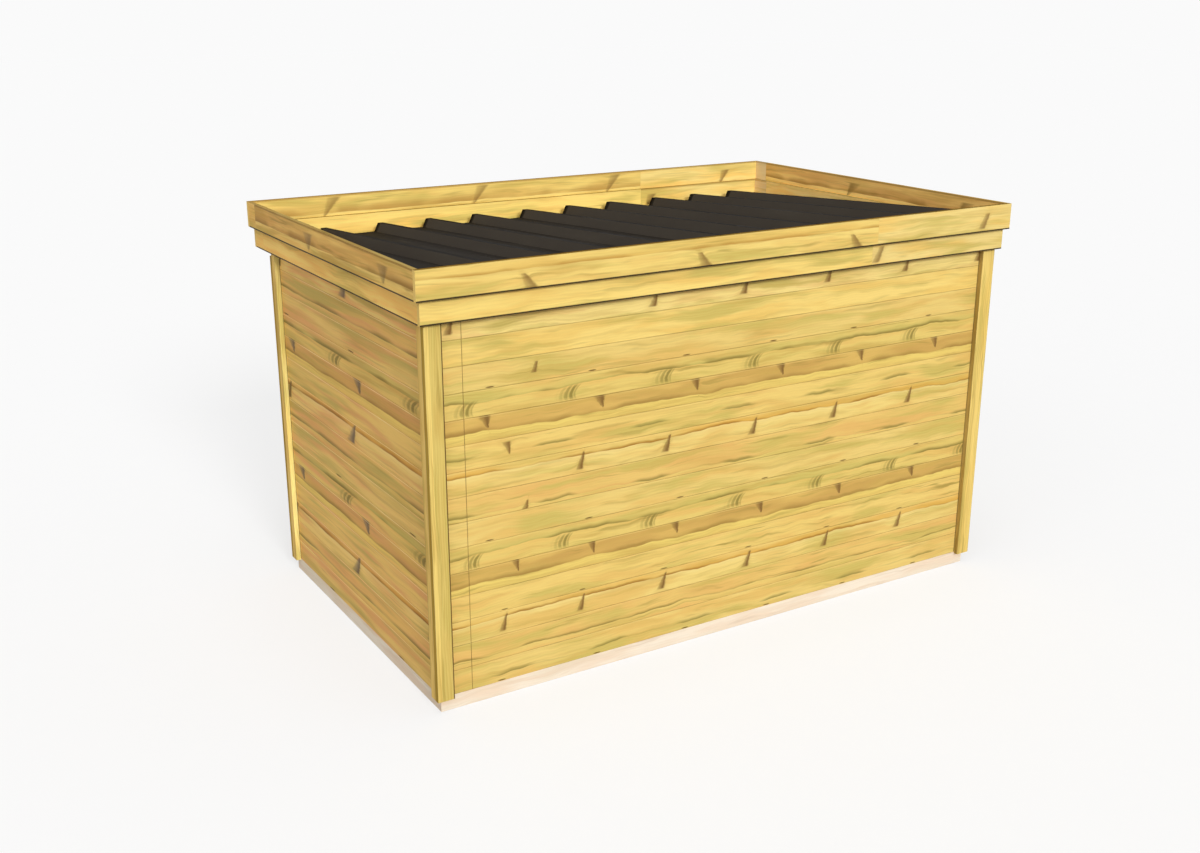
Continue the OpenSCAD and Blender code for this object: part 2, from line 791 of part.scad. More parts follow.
// Plate on the wall, notched round the strap's knuckle
module wall_plate() {
    face = hx - axis_x;
    notch = knuckle_r + knuckle_clear;
    half = strap_h / 2 + knuckle_clear;
    for (s = [-1, 1])
        knuckle(s > 0 ? half : -fixed_plate_h / 2, s > 0 ? fixed_plate_h / 2 : -half)
            block([face, -notch - clear, s > 0 ? half : -fixed_plate_h / 2],
                  [face + plate_t, 0, s > 0 ? fixed_plate_h / 2 : -half]);
    difference() {
        block([face, -fixed_plate_w, -fixed_plate_h / 2],
              [face + plate_t, -notch, fixed_plate_h / 2]);
        for (z = wall_screw_zs)
            translate([face - clear, -wall_screw_y, z]) rotate([0, 90, 0])
                cylinder(r = wood_screw[2] + screw_fit, h = 2 * clear + plate_t);
    }
}

module hinge_pin() {
    h = fixed_plate_h / 2;
    translate([0, 0, -h]) cylinder(r = pin_r, h = 2 * h);
    for (z = [-h - 2, h])
        translate([0, 0, z]) cylinder(r = knuckle_r - 0.5, h = 2);
}

// Places a child on each hinge's axis on one side
module on_hinges(side) {
    on_leaf(side)
        for (z = hinge_zs)
            translate([axis_x, axis_y, z]) children();
}

// Places a child at each screw of the wall plates, its axis pointing out of the wall
module wall_screw_places(x) {
    for (side = [-1, 1])
        on_hinges(side)
            for (z = wall_screw_zs)
                translate([x - axis_x, -wall_screw_y, z]) rotate([0, 90, 0]) children();
}

// Places a child at each screw of one door's straps
module strap_screw_places(side, x) {
    on_hinges(side)
        for (y = strap_screw_ys)
            translate([x - axis_x, y, 0]) rotate([0, 90, 0]) children();
}

module wall_screw_holes(depth) {
    wall_screw_places(hx) screw_hole(wood_screw, depth);
}

module strap_screw_holes(side, depth) {
    strap_screw_places(side, door_face_x) screw_hole(wood_screw, depth);
}

module hinge_wall_plates() {
    color("dimgray") for (side = [-1, 1]) on_hinges(side) wall_plate();
}

module hinge_pins() {
    color("gray") for (side = [-1, 1]) on_hinges(side) hinge_pin();
}

module hinge_wall_screws() {
    color("gray") wall_screw_places(hx + plate_t) screw(wood_screw);
}

module front_door_straps() { color("dimgray") on_hinges(-1) strap(); }
module back_door_straps() { color("dimgray") on_hinges(1) strap(); }
module front_door_screws() {
    color("gray") strap_screw_places(-1, door_face_x + plate_t) screw(wood_screw);
}
module back_door_screws() {
    color("gray") strap_screw_places(1, door_face_x + plate_t) screw(wood_screw);
}

// Handle and bolts

// Pull handle: two feet, two posts and an upright bar
module door_handle() {
    bar_r = 7;
    foot_r = 17;
    y = leaf_inner - 45;
    x = door_face_x + handle_reach;
    z0 = pad_z - 120 - handle_len;
    color("dimgray")
        on_leaf(-1)
            translate([0, y, z0]) {
                for (z = [0, handle_len]) {
                    translate([door_face_x, 0, z]) rotate([0, 90, 0])
                        cylinder(r = foot_r, h = plate_t);
                    translate([door_face_x, 0, z]) rotate([0, 90, 0])
                        cylinder(r = bar_r, h = handle_reach);
                    translate([x, 0, z]) sphere(r = bar_r);
                }
                translate([x, 0, 0]) cylinder(r = bar_r, h = handle_len);
            }
}

// One guide of a bolt: a small block with the rod's bore along Z, standing on z
module bolt_guide(z, h) {
    s = rod_offset + rod_r + 2;
    difference() {
        translate([-rod_offset, -rod_r - 3, z]) cube([s, 2 * rod_r + 6, h]);
        translate([0, 0, z - clear]) cylinder(r = rod_r + running_fit, h = h + 2 * clear);
    }
}

// Plate with two guides; the rod's axis is Z and the plate's back lies at -rod_offset
module bolt_housing(len) {
    guide_h = 14;
    translate([-rod_offset, -rod_r - 9, 0]) cube([plate_t, 2 * rod_r + 18, len]);
    for (z = [4, len - 4 - guide_h]) bolt_guide(z, guide_h);
}

// Round rod from behind its housing to the given end, with a knob between the guides
module bolt_rod(end, housing_len) {
    knob_z = housing_len / 2 - bolt_travel / 2;
    reach = rod_r + 16;
    translate([0, 0, -rod_tail]) cylinder(r = rod_r, h = end + rod_tail);
    translate([0, 0, knob_z]) rotate([0, 90, 0]) cylinder(r = rod_r - 1.5, h = reach);
    translate([reach, 0, knob_z]) sphere(r = rod_r);
}

pad_housing_len = 110;
pad_housing_y0 = leaf_inner - 12 - pad_housing_len;
// Lays a bolt's own frame along Y on the outside of a door
module on_pad_bolt() {
    on_leaf(-1)
        translate([pad_x, pad_housing_y0, pad_z]) rotate([-90, 0, 0]) children();
}

module pad_bolt_housing() { color("dimgray") on_pad_bolt() bolt_housing(pad_housing_len); }

module pad_bolt() {
    color("silver")
        on_pad_bolt() bolt_rod(leaf_inner - rest_gap - pad_housing_y0, pad_housing_len);
}

// Keep on the back door that the pad bolt's rod slides into
module pad_bolt_keep() {
    keep_len = 34;
    color("dimgray")
        on_leaf(1)
            translate([pad_x, leaf_inner - rest_gap, pad_z]) rotate([90, 0, 0]) {
                difference() {
                    translate([-rod_offset, -rod_r - 3, 0])
                        cube([rod_offset + rod_r + 2, 2 * rod_r + 6, 14]);
                    translate([0, 0, -clear]) cylinder(r = rod_r + clear / 2, h = 14 + 2 * clear);
                }
                translate([-rod_offset, -rod_r - 9, 0]) cube([plate_t, 2 * rod_r + 18, keep_len]);
            }
}

tower_housing_len = ledge_w - 5;
// Bolt frame at the top ledge, pointing up, or at the bottom ledge, pointing down
module on_tower_bolt(top) {
    z = top ? hinge_zs[2] - tower_housing_len / 2 : hinge_zs[0] + tower_housing_len / 2;
    on_leaf(1)
        translate([tower_x, tower_y, z]) mirror([0, 0, top ? 0 : 1]) mirror([1, 0, 0]) children();
}

module tower_bolt_housings() {
    color("dimgray") for (top = [true, false]) on_tower_bolt(top) bolt_housing(tower_housing_len);
}

module tower_bolt(top) {
    z0 = top ? hinge_zs[2] - tower_housing_len / 2 : hinge_zs[0] + tower_housing_len / 2;
    stop = top ? head_z - z0 : z0 - floor_h - threshold_h;
    on_tower_bolt(top) bolt_rod(stop - rest_gap, tower_housing_len);
}

module top_tower_bolt() { color("silver") tower_bolt(true); }
module bottom_tower_bolt() { color("silver") tower_bolt(false); }

floor_joists();
floor_rim();
floor_boards();
threshold();
front_wall_frame();
back_wall_frame();
left_wall_frame();
right_wall_frame();
door_posts();
front_wall_boards();
front_makeup_boards();
back_wall_boards();
left_wall_boards();
right_wall_boards();
front_left_corner_board();
front_right_corner_board();
back_left_corner_board();
back_right_corner_board();
left_front_corner_strip();
left_back_corner_strip();
right_front_corner_strip();
right_back_corner_strip();
rafters();
eaves_blocks();
roof_battens();
roof_sheet_1();
roof_sheet_2();
roof_sheet_3();
roof_sheet_4();
roof_screws();
fascia_battens();
lower_fascia_front();
lower_fascia_back();
lower_fascia_left();
lower_fascia_right();
upper_fascia_front();
upper_fascia_back();
upper_fascia_left();
upper_fascia_right();
hinge_wall_plates();
hinge_pins();
hinge_wall_screws();
front_door_boards();
front_door_ledges();
front_door_braces();
front_door_straps();
front_door_screws();
door_handle();
pad_bolt_housing();
pad_bolt();
back_door_boards();
back_door_ledges();
back_door_braces();
back_door_straps();
back_door_screws();
pad_bolt_keep();
tower_bolt_housings();
top_tower_bolt();
bottom_tower_bolt();
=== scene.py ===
import math

import bmesh
import bpy
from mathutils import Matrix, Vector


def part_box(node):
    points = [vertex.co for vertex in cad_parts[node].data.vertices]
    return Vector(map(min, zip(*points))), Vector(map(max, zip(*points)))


# Garden shed: materials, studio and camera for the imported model.
# Units are metres. X runs along the front wall, Y from front to back, Z up.

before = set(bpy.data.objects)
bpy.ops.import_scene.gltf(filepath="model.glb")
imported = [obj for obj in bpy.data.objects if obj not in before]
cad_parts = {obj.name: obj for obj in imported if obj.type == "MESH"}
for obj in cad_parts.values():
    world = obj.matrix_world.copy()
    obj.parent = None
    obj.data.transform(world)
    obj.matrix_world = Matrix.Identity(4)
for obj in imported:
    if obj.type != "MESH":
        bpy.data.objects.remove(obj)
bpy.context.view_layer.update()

# Camera at the photograph's angle, for an image of 1200 by 853. Angles are in degrees, lens
# and sensor in millimetres.
CAMERA_PLACE = (-3.7175, -5.8144, 3.0115)
CAMERA_TILT = 72.055
CAMERA_TURN = -31.450
CAMERA_LENS = 40.549
CAMERA_SENSOR = 36.0
CAMERA_REACH = 300.0

# Light: each sun's direction is where it shines to, its spread is in degrees
KEY_DIRECTION = (0.10, 0.88, -0.42)
KEY_STRENGTH = 2.00
KEY_SPREAD = 18.0
TOP_DIRECTION = (0.05, 0.12, -1.0)
TOP_STRENGTH = 0.63
TOP_SPREAD = 40.0
FILL_DIRECTION = (0.85, 0.35, -0.42)
FILL_STRENGTH = 0.52
FILL_SPREAD = 40.0
# The world as it lights the shed, and the backdrop as the camera sees it
AMBIENT = 0.50
BACKDROP = 0.957
WHITE = (1.0, 1.0, 1.0, 1.0)
# The floor: half its side, its cells along a side, and how far it lies below the shed
FLOOR_REACH = 60.0
FLOOR_CELLS = 8
FLOOR_DROP = 0.0005
# The floor as the camera sees it, how much it varies, the shadow's share in that, and the
# floor as it lights the shed
FLOOR_TONE = 0.92
FLOOR_MOTTLE = 0.002
SHADOW_SHARE = 0.37
FLOOR_BOUNCE = 0.20

# The boards' figure repeats at this distance; a squeezed row's figure is closer together
# before SQUEEZE_FROM. Boards side by side have their knots moved along by KNOT_SHIFT.
FIGURE_PERIOD = 0.497
SQUEEZE_FROM = -0.65
KNOT_SHIFT = 0.236
# A row's pins stand this share of the period past its knots
PIN_SHARE = 0.4
# Seed of a wall's lowest row, and from a board to its second length or a corner's strip
WALL_SEED = 3.0
SECOND_SEED = 0.5

# Boards of the walls, and the middle of the walls in Y
FLOOR_TOP = 0.068
BOARD_COVER = 0.1138
BOARD_ROWS = 16
WALLS_MIDDLE = -0.066
# The last row that shows below the fascia
TOP_ROW = 14
# A face whose normal lies this much along a board is its sawn end
END_FACE = 0.9

# Bump in millimetres and specular level of the timber
TIMBER_BUMP = 0.35
TIMBER_GLOSS = 0.2


def srgb(red, green, blue):
    """Linear colour from display values of 0 to 255."""
    return tuple(((c / 255 + 0.055) / 1.055) ** 2.4 for c in (red, green, blue)) + (1.0,)


# Most of a noise's values lie in this range
NOISE_RANGE = (0.3, 0.7)

# Smooth steps: where each starts and ends, and its values there if they aren't 0 and 1
STEPS = {
    # Knots and pins, in shares of their size
    "knot side": (1.35, 0.60), "knot tip": (1.12, 0.86), "knot core": (-0.9, 0.6, 0.55, 1.0),
    "halo": (3.0, 0.9), "pin": (1.4, 0.3),
    # Arcs: the sine that makes the strokes, then metres along and across the board
    "stroke": (-0.85, 0.35, 0.35, 1.0), "first stroke": (-0.085, 0.012),
    "last stroke": (0.034, 0.022), "stroke ends": (0.040, 0.018),
    # Wavy lines: what share of the noise fades them, then metres
    "line fade": (0.38, 0.56, 0.20, 1.0), "patches": (0.34, 0.62, 0.35, 1.0),
    "dash": (0.125, 0.050), "line foot": (-0.0030, 0.0),
    # Colour patches and growth rings, in shares of the noise or of a ring
    "warm": (0.42, 0.66), "green": (0.47, 0.68), "shade": (0.47, 0.72), "stain": (0.57, 0.74),
    "ring rise": (0.10, 0.90), "ring fall": (1.0, 0.90), "ringed": (0.38, 0.62, 0.25, 1.0),
    # Edges of a board, in metres: the painted highlight along its top, painted shade at its foot
    # and where a wall meets its corner boards, and its butt joints
    "lip top": (0.0075, 0.0045), "lip foot": (0.0015, 0.0030), "worn": (0.36, 0.60, 0.35, 1.0),
    "Foot": (0.0075, 0.0050), "Ends": (0.0056, 0.0030), "Butt": (0.0026, 0.0010),
    # Fibres and the roughness of the rings
    "fibre": (0.25, 0.8, 1.02, 0.965), "ring roughness": (0.0, 0.9, 0.62, 0.72),
    # Sawn ends
    "sawn rings": (0.2, 0.9), "bleached": (0.35, 0.7, 0.0, 0.5),
    "sawn specks": (0.4, 0.7, 0.0, 0.25), "sawn roughness": (*NOISE_RANGE, 0.7, 0.85),
    # Painted steel
    "steel clouds": NOISE_RANGE, "dust runs": (0.5, 0.8, 0.0, 0.20),
    "dust specks": (0.62, 0.8, 0.0, 0.12), "steel roughness": (*NOISE_RANGE, 0.66, 0.76),
}


class Graph:
    """Builds a node tree with short calls. Each call returns the new node's output socket."""

    def __init__(self, tree):
        self.tree = tree

    def node(self, kind, inputs=None, out=0, **settings):
        made = self.tree.nodes.new("ShaderNode" + kind)
        for name, value in settings.items():
            setattr(made, name, value)
        for key, value in (inputs or {}).items():
            self.feed(made.inputs[key], value)
        return made.outputs[out]

    def feed(self, socket, value):
        if isinstance(value, bpy.types.NodeSocket):
            self.tree.links.new(value, socket)
        else:
            socket.default_value = value

    def math(self, operation, *values):
        return self.node("Math", dict(enumerate(values)), operation=operation)

    def add(self, a, b):
        return self.math("ADD", a, b)

    def sub(self, a, b):
        return self.math("SUBTRACT", a, b)

    def times(self, a, b):
        return self.math("MULTIPLY", a, b)

    def step(self, value, low, high, to_low=0.0, to_high=1.0):
        """A smooth step from to_low to to_high while the value goes from low to high."""
        ends = {"Value": value, "From Min": low, "From Max": high,
                "To Min": to_low, "To Max": to_high}
        return self.node("MapRange", ends, interpolation_type="SMOOTHSTEP")

    def fade(self, value, name):
        """One of the named smooth steps."""
        return self.step(value, *STEPS[name])

    def mix(self, amount, a, b, blend="MIX"):
        """Colour a turns into b. Inputs 6 and 7 and output 2 are a Mix node's colours."""
        return self.node("Mix", {0: amount, 6: a, 7: b}, out=2, data_type="RGBA",
                         blend_type=blend)

    def grey(self, tone):
        return self.node("CombineColor", {0: tone, 1: tone, 2: tone})

    def point(self, x, y, z):
        return self.node("CombineXYZ", {"X": x, "Y": y, "Z": z})

    def noise(self, vector, scale=1.0, detail=3.0, rough=0.5, twist=0.0):
        return self.node("TexNoise", {"Vector": vector, "Scale": scale, "Detail": detail,
                                      "Roughness": rough, "Distortion": twist})

    def place(self):
        """The place in the shared frame, in metres."""
        return self.node("TexCoord", out="Object")

    def axes(self, vector):
        """A vector's three parts, by the names X, Y and Z."""
        parts = self.tree.nodes.new("ShaderNodeSeparateXYZ")
        self.feed(parts.inputs[0], vector)
        return parts.outputs

    def show(self, surface, kind="Material"):
        """Links the finished surface to the tree's output."""
        output = self.tree.nodes.new("ShaderNodeOutput" + kind)
        self.tree.links.new(surface, output.inputs["Surface"])


# Timber

# Inputs of the timber group, with their values where a look names none: places and reaches
# in metres, amounts from 0 to 1
TIMBER_NUMBERS = {
    "Along": 0.0, "Across": 0.0, "Depth": 0.0, "Seed": 0.0, "Half width": 0.0565,
    "Squeeze": 0.0, "Wander": 1.0, "Clouds": 0.85, "Rings": 0.25, "Stains": 0.55,
    # The pale lip along a board's top is a painted highlight; Head, Foot and Ends draw painted
    # shade
    "Shades": 0.60, "Edge": 0.28, "Edge reach": 0.0036, "Foot": 0.0, "Lip": 0.35,
    "Head": 0.0, "Head reach": 0.010,
    "Knots": 0.0, "Knots from": -10.0, "Knot period": FIGURE_PERIOD, "Knot phase": 0.0,
    "Knot height": 0.0, "Knot slant": 0.35, "Knot length": 0.040, "Knot width": 0.013,
    "Knot taper": -0.6,
    "Pins": 0.0, "Pin phase": 0.0,
    "Arcs": 0.0, "Arc phase": 0.0, "Arc height": -0.020,
    "Line": 0.0, "Line height": 0.0, "Line reach": 0.010, "Dash": 0.0, "Line phase": 0.0,
    "Above": 0.0, "Above reach": 0.030, "Below": 0.0, "Below reach": 0.030,
    "Ends": 0.0, "Ends middle": 0.0, "Ends half": 10.0, "Butt": 0.0, "Butt at": 0.0,
}
TIMBER_COLOURS = ("Light", "Warm", "Green", "Ring", "Stain", "Shade", "Knot", "Line colour",
                  "Above colour", "Below colour", "Edge colour", "Lip colour")

# Noise over a board: its scale along and across the grain, its layer, detail and twist
FIELDS = {
    "wave": (2.6, 0.0, 3.0, 1.0, 0.0), "ripple": (8.5, 6.0, 9.0, 2.0, 0.0),
    "sway": (2.6, 9.0, 15.0, 2.0, 0.0), "wobble": (55.0, 55.0, 21.0, 2.0, 0.0),
    "line fade": (3.0, 0.0, 27.0, 2.0, 0.0), "patches": (2.0, 16.0, 57.0, 1.5, 0.0),
    "warm": (2.4, 17.0, 33.0, 2.0, 0.3), "green": (2.0, 14.0, 39.0, 2.0, 0.3),
    "stain": (2.6, 40.0, 45.0, 2.0, 0.5), "shade": (2.4, 30.0, 51.0, 2.0, 0.6),
    "worn": (3.3, 0.0, 63.0, 2.0, 0.0),
}
# How far boards with neighbouring seeds lie apart in the noise
SEED_STEP = 7.31


class BoardGraph(Graph):
    """The timber group's tree, with the board's own directions and inputs."""

    def __init__(self, tree):
        super().__init__(tree)
        self.inputs = tree.nodes.new("NodeGroupInput").outputs
        self.along, self.across = self.inputs["Along"], self.inputs["Across"]
        self.shift = self.times(self.inputs["Seed"], SEED_STEP)
        before = self.math("MINIMUM", self.sub(self.along, SQUEEZE_FROM), 0.0)
        self.squeezed = self.add(self.along, self.times(before, self.inputs["Squeeze"]))

    def field(self, name, height=None):
        """Noise stretched along the grain, between about 0 and 1, over the board's height or
        over one that follows the grain."""
        along_scale, across_scale, layer, detail, twist = FIELDS[name]
        height = self.across if height is None else height
        at = self.point(self.times(self.along, along_scale), self.times(height, across_scale),
                        self.add(self.shift, layer))
        return self.noise(at, detail=detail, twist=twist)

    def swing(self, name, size):
        """The same noise about 0, with its whole range as large as the size."""
        return self.times(self.sub(self.field(name), 0.5), size)

    def near_repeat(self, phase, period=FIGURE_PERIOD):
        """Distance along the board to the nearest knot, pin, dash or group of arcs."""
        half = self.times(period, 0.5)
        return self.math("WRAP", self.sub(self.squeezed, phase), half, self.times(half, -1.0))


def knot_marks(g, wobble):
    """Knots are slanted wedges, darkest along one side. Their halo pushes the grain aside.
    Gives the knot, how dark it is, the halo and how far the grain is pushed."""
    edge_wobble, thinnest, push = 0.012, 0.0018, 0.007
    near = g.near_repeat(g.inputs["Knot phase"], g.inputs["Knot period"])
    knots = g.times(g.inputs["Knots"], g.math("GREATER_THAN", g.along, g.inputs["Knots from"]))
    rise = g.sub(g.across, g.inputs["Knot height"])
    rise_share = g.math("DIVIDE", rise, g.inputs["Knot length"])
    lean = g.add(g.sub(near, g.times(rise, g.inputs["Knot slant"])), g.times(wobble, edge_wobble))
    taper = g.add(1.0, g.times(g.inputs["Knot taper"], rise_share))
    width = g.times(g.inputs["Knot width"], taper)
    side = g.math("DIVIDE", lean, g.math("MAXIMUM", width, thinnest))
    reach = g.math("SQRT", g.add(g.times(side, side), g.times(rise_share, rise_share)))
    knot = g.times(g.fade(g.math("ABSOLUTE", side), "knot side"),
                   g.fade(g.math("ABSOLUTE", rise_share), "knot tip"))
    halo = g.times(g.fade(reach, "halo"), knots)
    pushed = g.times(halo, g.times(g.math("SIGN", rise), push))
    return g.times(knot, knots), g.fade(side, "knot core"), halo, pushed


def pin_marks(g):
    """Small dark ovals just above the board's lower edge."""
    half_length, half_height, above_edge = 0.021, 0.0030, 0.0055
    near = g.times(g.near_repeat(g.inputs["Pin phase"]), 1 / half_length)
    from_edge = g.add(g.across, g.inputs["Half width"])
    rise = g.times(g.sub(from_edge, above_edge), 1 / half_height)
    away = g.add(g.times(near, near), g.times(rise, rise))
    return g.times(g.fade(away, "pin"), g.inputs["Pins"])


def arc_marks(g, wobble):
    """Short curved strokes of darker grain."""
    curve, slant, edge_wobble, stroke_rate = 14.0, 0.42, 0.008, 240.0
    near = g.near_repeat(g.inputs["Arc phase"])
    rise = g.sub(g.across, g.inputs["Arc height"])
    bend = g.add(g.times(g.times(rise, rise), curve), g.times(rise, slant))
    bent = g.add(g.sub(near, bend), g.times(wobble, edge_wobble))
    stroke = g.fade(g.math("SINE", g.times(bent, stroke_rate)), "stroke")
    group = g.times(g.fade(bent, "first stroke"), g.fade(bent, "last stroke"))
    ends = g.fade(g.math("ABSOLUTE", rise), "stroke ends")
    return g.times(g.times(stroke, group), g.times(ends, g.inputs["Arcs"]))


def line_marks(g, wavy):
    """One wavy line along the board, sharp below, with other timber above and below it."""
    least_share = 0.5
    from_line = g.sub(wavy, g.inputs["Line height"])
    uneven = g.fade(g.field("line fade"), "line fade")
    dash = g.fade(g.math("ABSOLUTE", g.near_repeat(g.inputs["Line phase"])), "dash")
    strength = g.add(g.times(uneven, g.sub(1.0, g.inputs["Dash"])),
                     g.times(dash, g.inputs["Dash"]))
    patchy = g.fade(g.field("patches"), "patches")
    above = g.times(g.math("GREATER_THAN", from_line, 0.0), g.inputs["Above"])
    above = g.times(g.times(above, patchy), g.step(from_line, g.inputs["Above reach"], 0.0))
    below = g.times(g.math("LESS_THAN", from_line, 0.0), g.inputs["Below"])
    below = g.times(below, g.step(g.times(from_line, -1.0), g.inputs["Below reach"], 0.0))
    reach = g.times(g.inputs["Line reach"], g.add(least_share, strength))
    line = g.times(g.step(from_line, reach, 0.0), g.fade(from_line, "line foot"))
    return g.times(g.times(line, strength), g.inputs["Line"]), above, below


def growth_rings(g, flow, warm, green):
    """Growth rings with one sharp side, stronger in some places than in others."""
    rings_per_metre, bend = 74.0, 3.0
    saw = g.math("FRACT", g.add(g.times(flow, rings_per_metre), g.times(warm, bend)))
    ring = g.times(g.fade(saw, "ring rise"), g.fade(saw, "ring fall"))
    return g.times(ring, g.fade(green, "ringed"))


def fibres_and_pores(g, flow):
    """Fine noise along the grain that follows its flow, and finer noise that doesn't."""
    fibre_along, fibre_across = 20.0, 560.0
    pore_along, pore_across = 90.0, 1500.0
    depth = g.inputs["Depth"]
    fibre_at = g.point(g.times(g.along, fibre_along), g.times(flow, fibre_across),
                       g.add(g.shift, g.times(depth, fibre_across)))
    pore_at = g.point(g.times(g.along, pore_along), g.times(g.across, pore_across),
                      g.times(depth, pore_across))
    return g.noise(fibre_at, detail=2.0, rough=0.6), g.noise(pore_at, detail=1.0)


def edge_marks(g):
    """A board's pale lip at the top, a painted highlight, and its dark head there, painted shade.
    Its dark lines: along both edges, dark joints and painted shade where a board stands proud;
    at the foot and where a wall meets its corner boards, painted shade; where two lengths meet."""
    dark_edge, edge_gain, dark_head = 0.0008, 1.35, 0.6
    from_top = g.sub(g.inputs["Half width"], g.across)
    from_edge = g.sub(g.inputs["Half width"], g.math("ABSOLUTE", g.across))
    from_foot = g.add(g.inputs["Half width"], g.across)
    from_middle = g.math("ABSOLUTE", g.sub(g.along, g.inputs["Ends middle"]))
    from_end = g.sub(g.inputs["Ends half"], from_middle)
    from_butt = g.math("ABSOLUTE", g.sub(g.along, g.inputs["Butt at"]))

    # Noise that makes the painted highlight and the dark edge lines uneven along the board
    worn = g.fade(g.field("worn"), "worn")
    lip = g.times(g.fade(from_top, "lip top"), g.fade(from_top, "lip foot"))
    lip = g.times(g.times(lip, worn), g.inputs["Lip"])
    head_reach = g.inputs["Head reach"]
    head = g.step(from_top, head_reach, g.times(head_reach, dark_head))
    edge = g.times(g.step(from_edge, g.inputs["Edge reach"], dark_edge), g.inputs["Edge"])
    edge = g.times(edge, g.sub(edge_gain, worn))
    for away, name in ((from_foot, "Foot"), (from_end, "Ends"), (from_butt, "Butt")):
        edge = g.math("MAXIMUM", edge, g.times(g.fade(away, name), g.inputs[name]))
    return lip, g.times(head, g.inputs["Head"]), edge


def timber_group():
    """Node group that turns a place on a board into colour, height and roughness."""
    group = bpy.data.node_groups.new("timber", "ShaderNodeTree")
    face = group.interface
    for name, value in TIMBER_NUMBERS.items():
        face.new_socket(name, in_out="INPUT", socket_type="NodeSocketFloat").default_value = value
    for name in TIMBER_COLOURS:
        face.new_socket(name, in_out="INPUT", socket_type="NodeSocketColor")
    face.new_socket("Colour", in_out="OUTPUT", socket_type="NodeSocketColor")
    face.new_socket("Height", in_out="OUTPUT", socket_type="NodeSocketFloat")
    face.new_socket("Roughness", in_out="OUTPUT", socket_type="NodeSocketFloat")
    g = BoardGraph(group)

    # The grain wanders in long waves and sways between them
    wave_height, ripple_height, sway_height = 0.038, 0.024, 0.026
    wander = g.add(g.swing("wave", wave_height), g.swing("ripple", ripple_height))
    wavy = g.add(g.across, g.times(wander, g.inputs["Wander"]))
    wobble = g.sub(g.field("wobble"), 0.5)
    knot, core, halo, pushed = knot_marks(g, wobble)
    flow = g.add(g.add(wavy, g.swing("sway", sway_height)), pushed)

    line, above, below = line_marks(g, wavy)
    warm, green, stain, shade = (g.field(name, flow)
                                 for name in ("warm", "green", "stain", "shade"))
    ring = growth_rings(g, flow, warm, green)
    fibre, pore = fibres_and_pores(g, flow)
    lip, head, edge = edge_marks(g)

    # Each layer covers the ones before it: how much, and with which colour
    halo_share = 0.22
    layers = (
        (g.times(g.fade(warm, "warm"), g.inputs["Clouds"]), "Warm"),
        (g.times(g.fade(green, "green"), g.inputs["Clouds"]), "Green"),
        (above, "Above colour"),
        (below, "Below colour"),
        (g.times(g.fade(shade, "shade"), g.inputs["Shades"]), "Shade"),
        (g.times(ring, g.inputs["Rings"]), "Ring"),
        (g.times(g.fade(stain, "stain"), g.inputs["Stains"]), "Stain"),
        (line, "Line colour"),
        (g.times(halo, halo_share), "Ring"),
        (arc_marks(g, wobble), "Line colour"),
        (g.times(knot, core), "Knot"),
        (pin_marks(g), "Edge colour"),
        # The pale lip is a painted highlight; the head and the edge lines at the foot and ends
        # are painted shade
        (lip, "Lip colour"),
        (head, "Line colour"),
        (edge, "Edge colour"))
    colour = g.inputs["Light"]
    for amount, name in layers:
        colour = g.mix(amount, colour, g.inputs[name])
    pore_tone = 0.05
    tone = g.add(g.fade(fibre, "fibre"), g.times(g.sub(pore, 0.5), pore_tone))
    colour = g.mix(1.0, colour, g.grey(tone), blend="MULTIPLY")

    fibre_rise, pore_rise, ring_rise, knot_dip, knot_polish = 0.35, 0.12, 0.25, 0.45, -0.16
    height = g.add(g.times(fibre, fibre_rise), g.times(pore, pore_rise))
    height = g.add(height, g.times(ring, ring_rise))
    height = g.sub(height, g.times(knot, knot_dip))
    rough = g.add(g.fade(ring, "ring roughness"), g.times(knot, knot_polish))
    outputs = group.nodes.new("NodeGroupOutput").inputs
    g.feed(outputs["Colour"], colour)
    g.feed(outputs["Height"], height)
    g.feed(outputs["Roughness"], rough)
    return group


TIMBER = timber_group()


def new_material(name):
    material = bpy.data.materials.new(name)
    material.use_nodes = True
    material.node_tree.nodes.clear()
    return material, Graph(material.node_tree)


def finish_material(g, colour, roughness, height, bump, **shader):
    """Adds the shader, with a bump of that many millimetres, and the output."""
    normal = g.node("Bump", {"Height": height, "Strength": 1.0, "Distance": bump / 1000})
    inputs = {"Base Color": colour, "Roughness": roughness, "Normal": normal}
    inputs.update(shader)
    g.show(g.node("BsdfPrincipled", inputs))


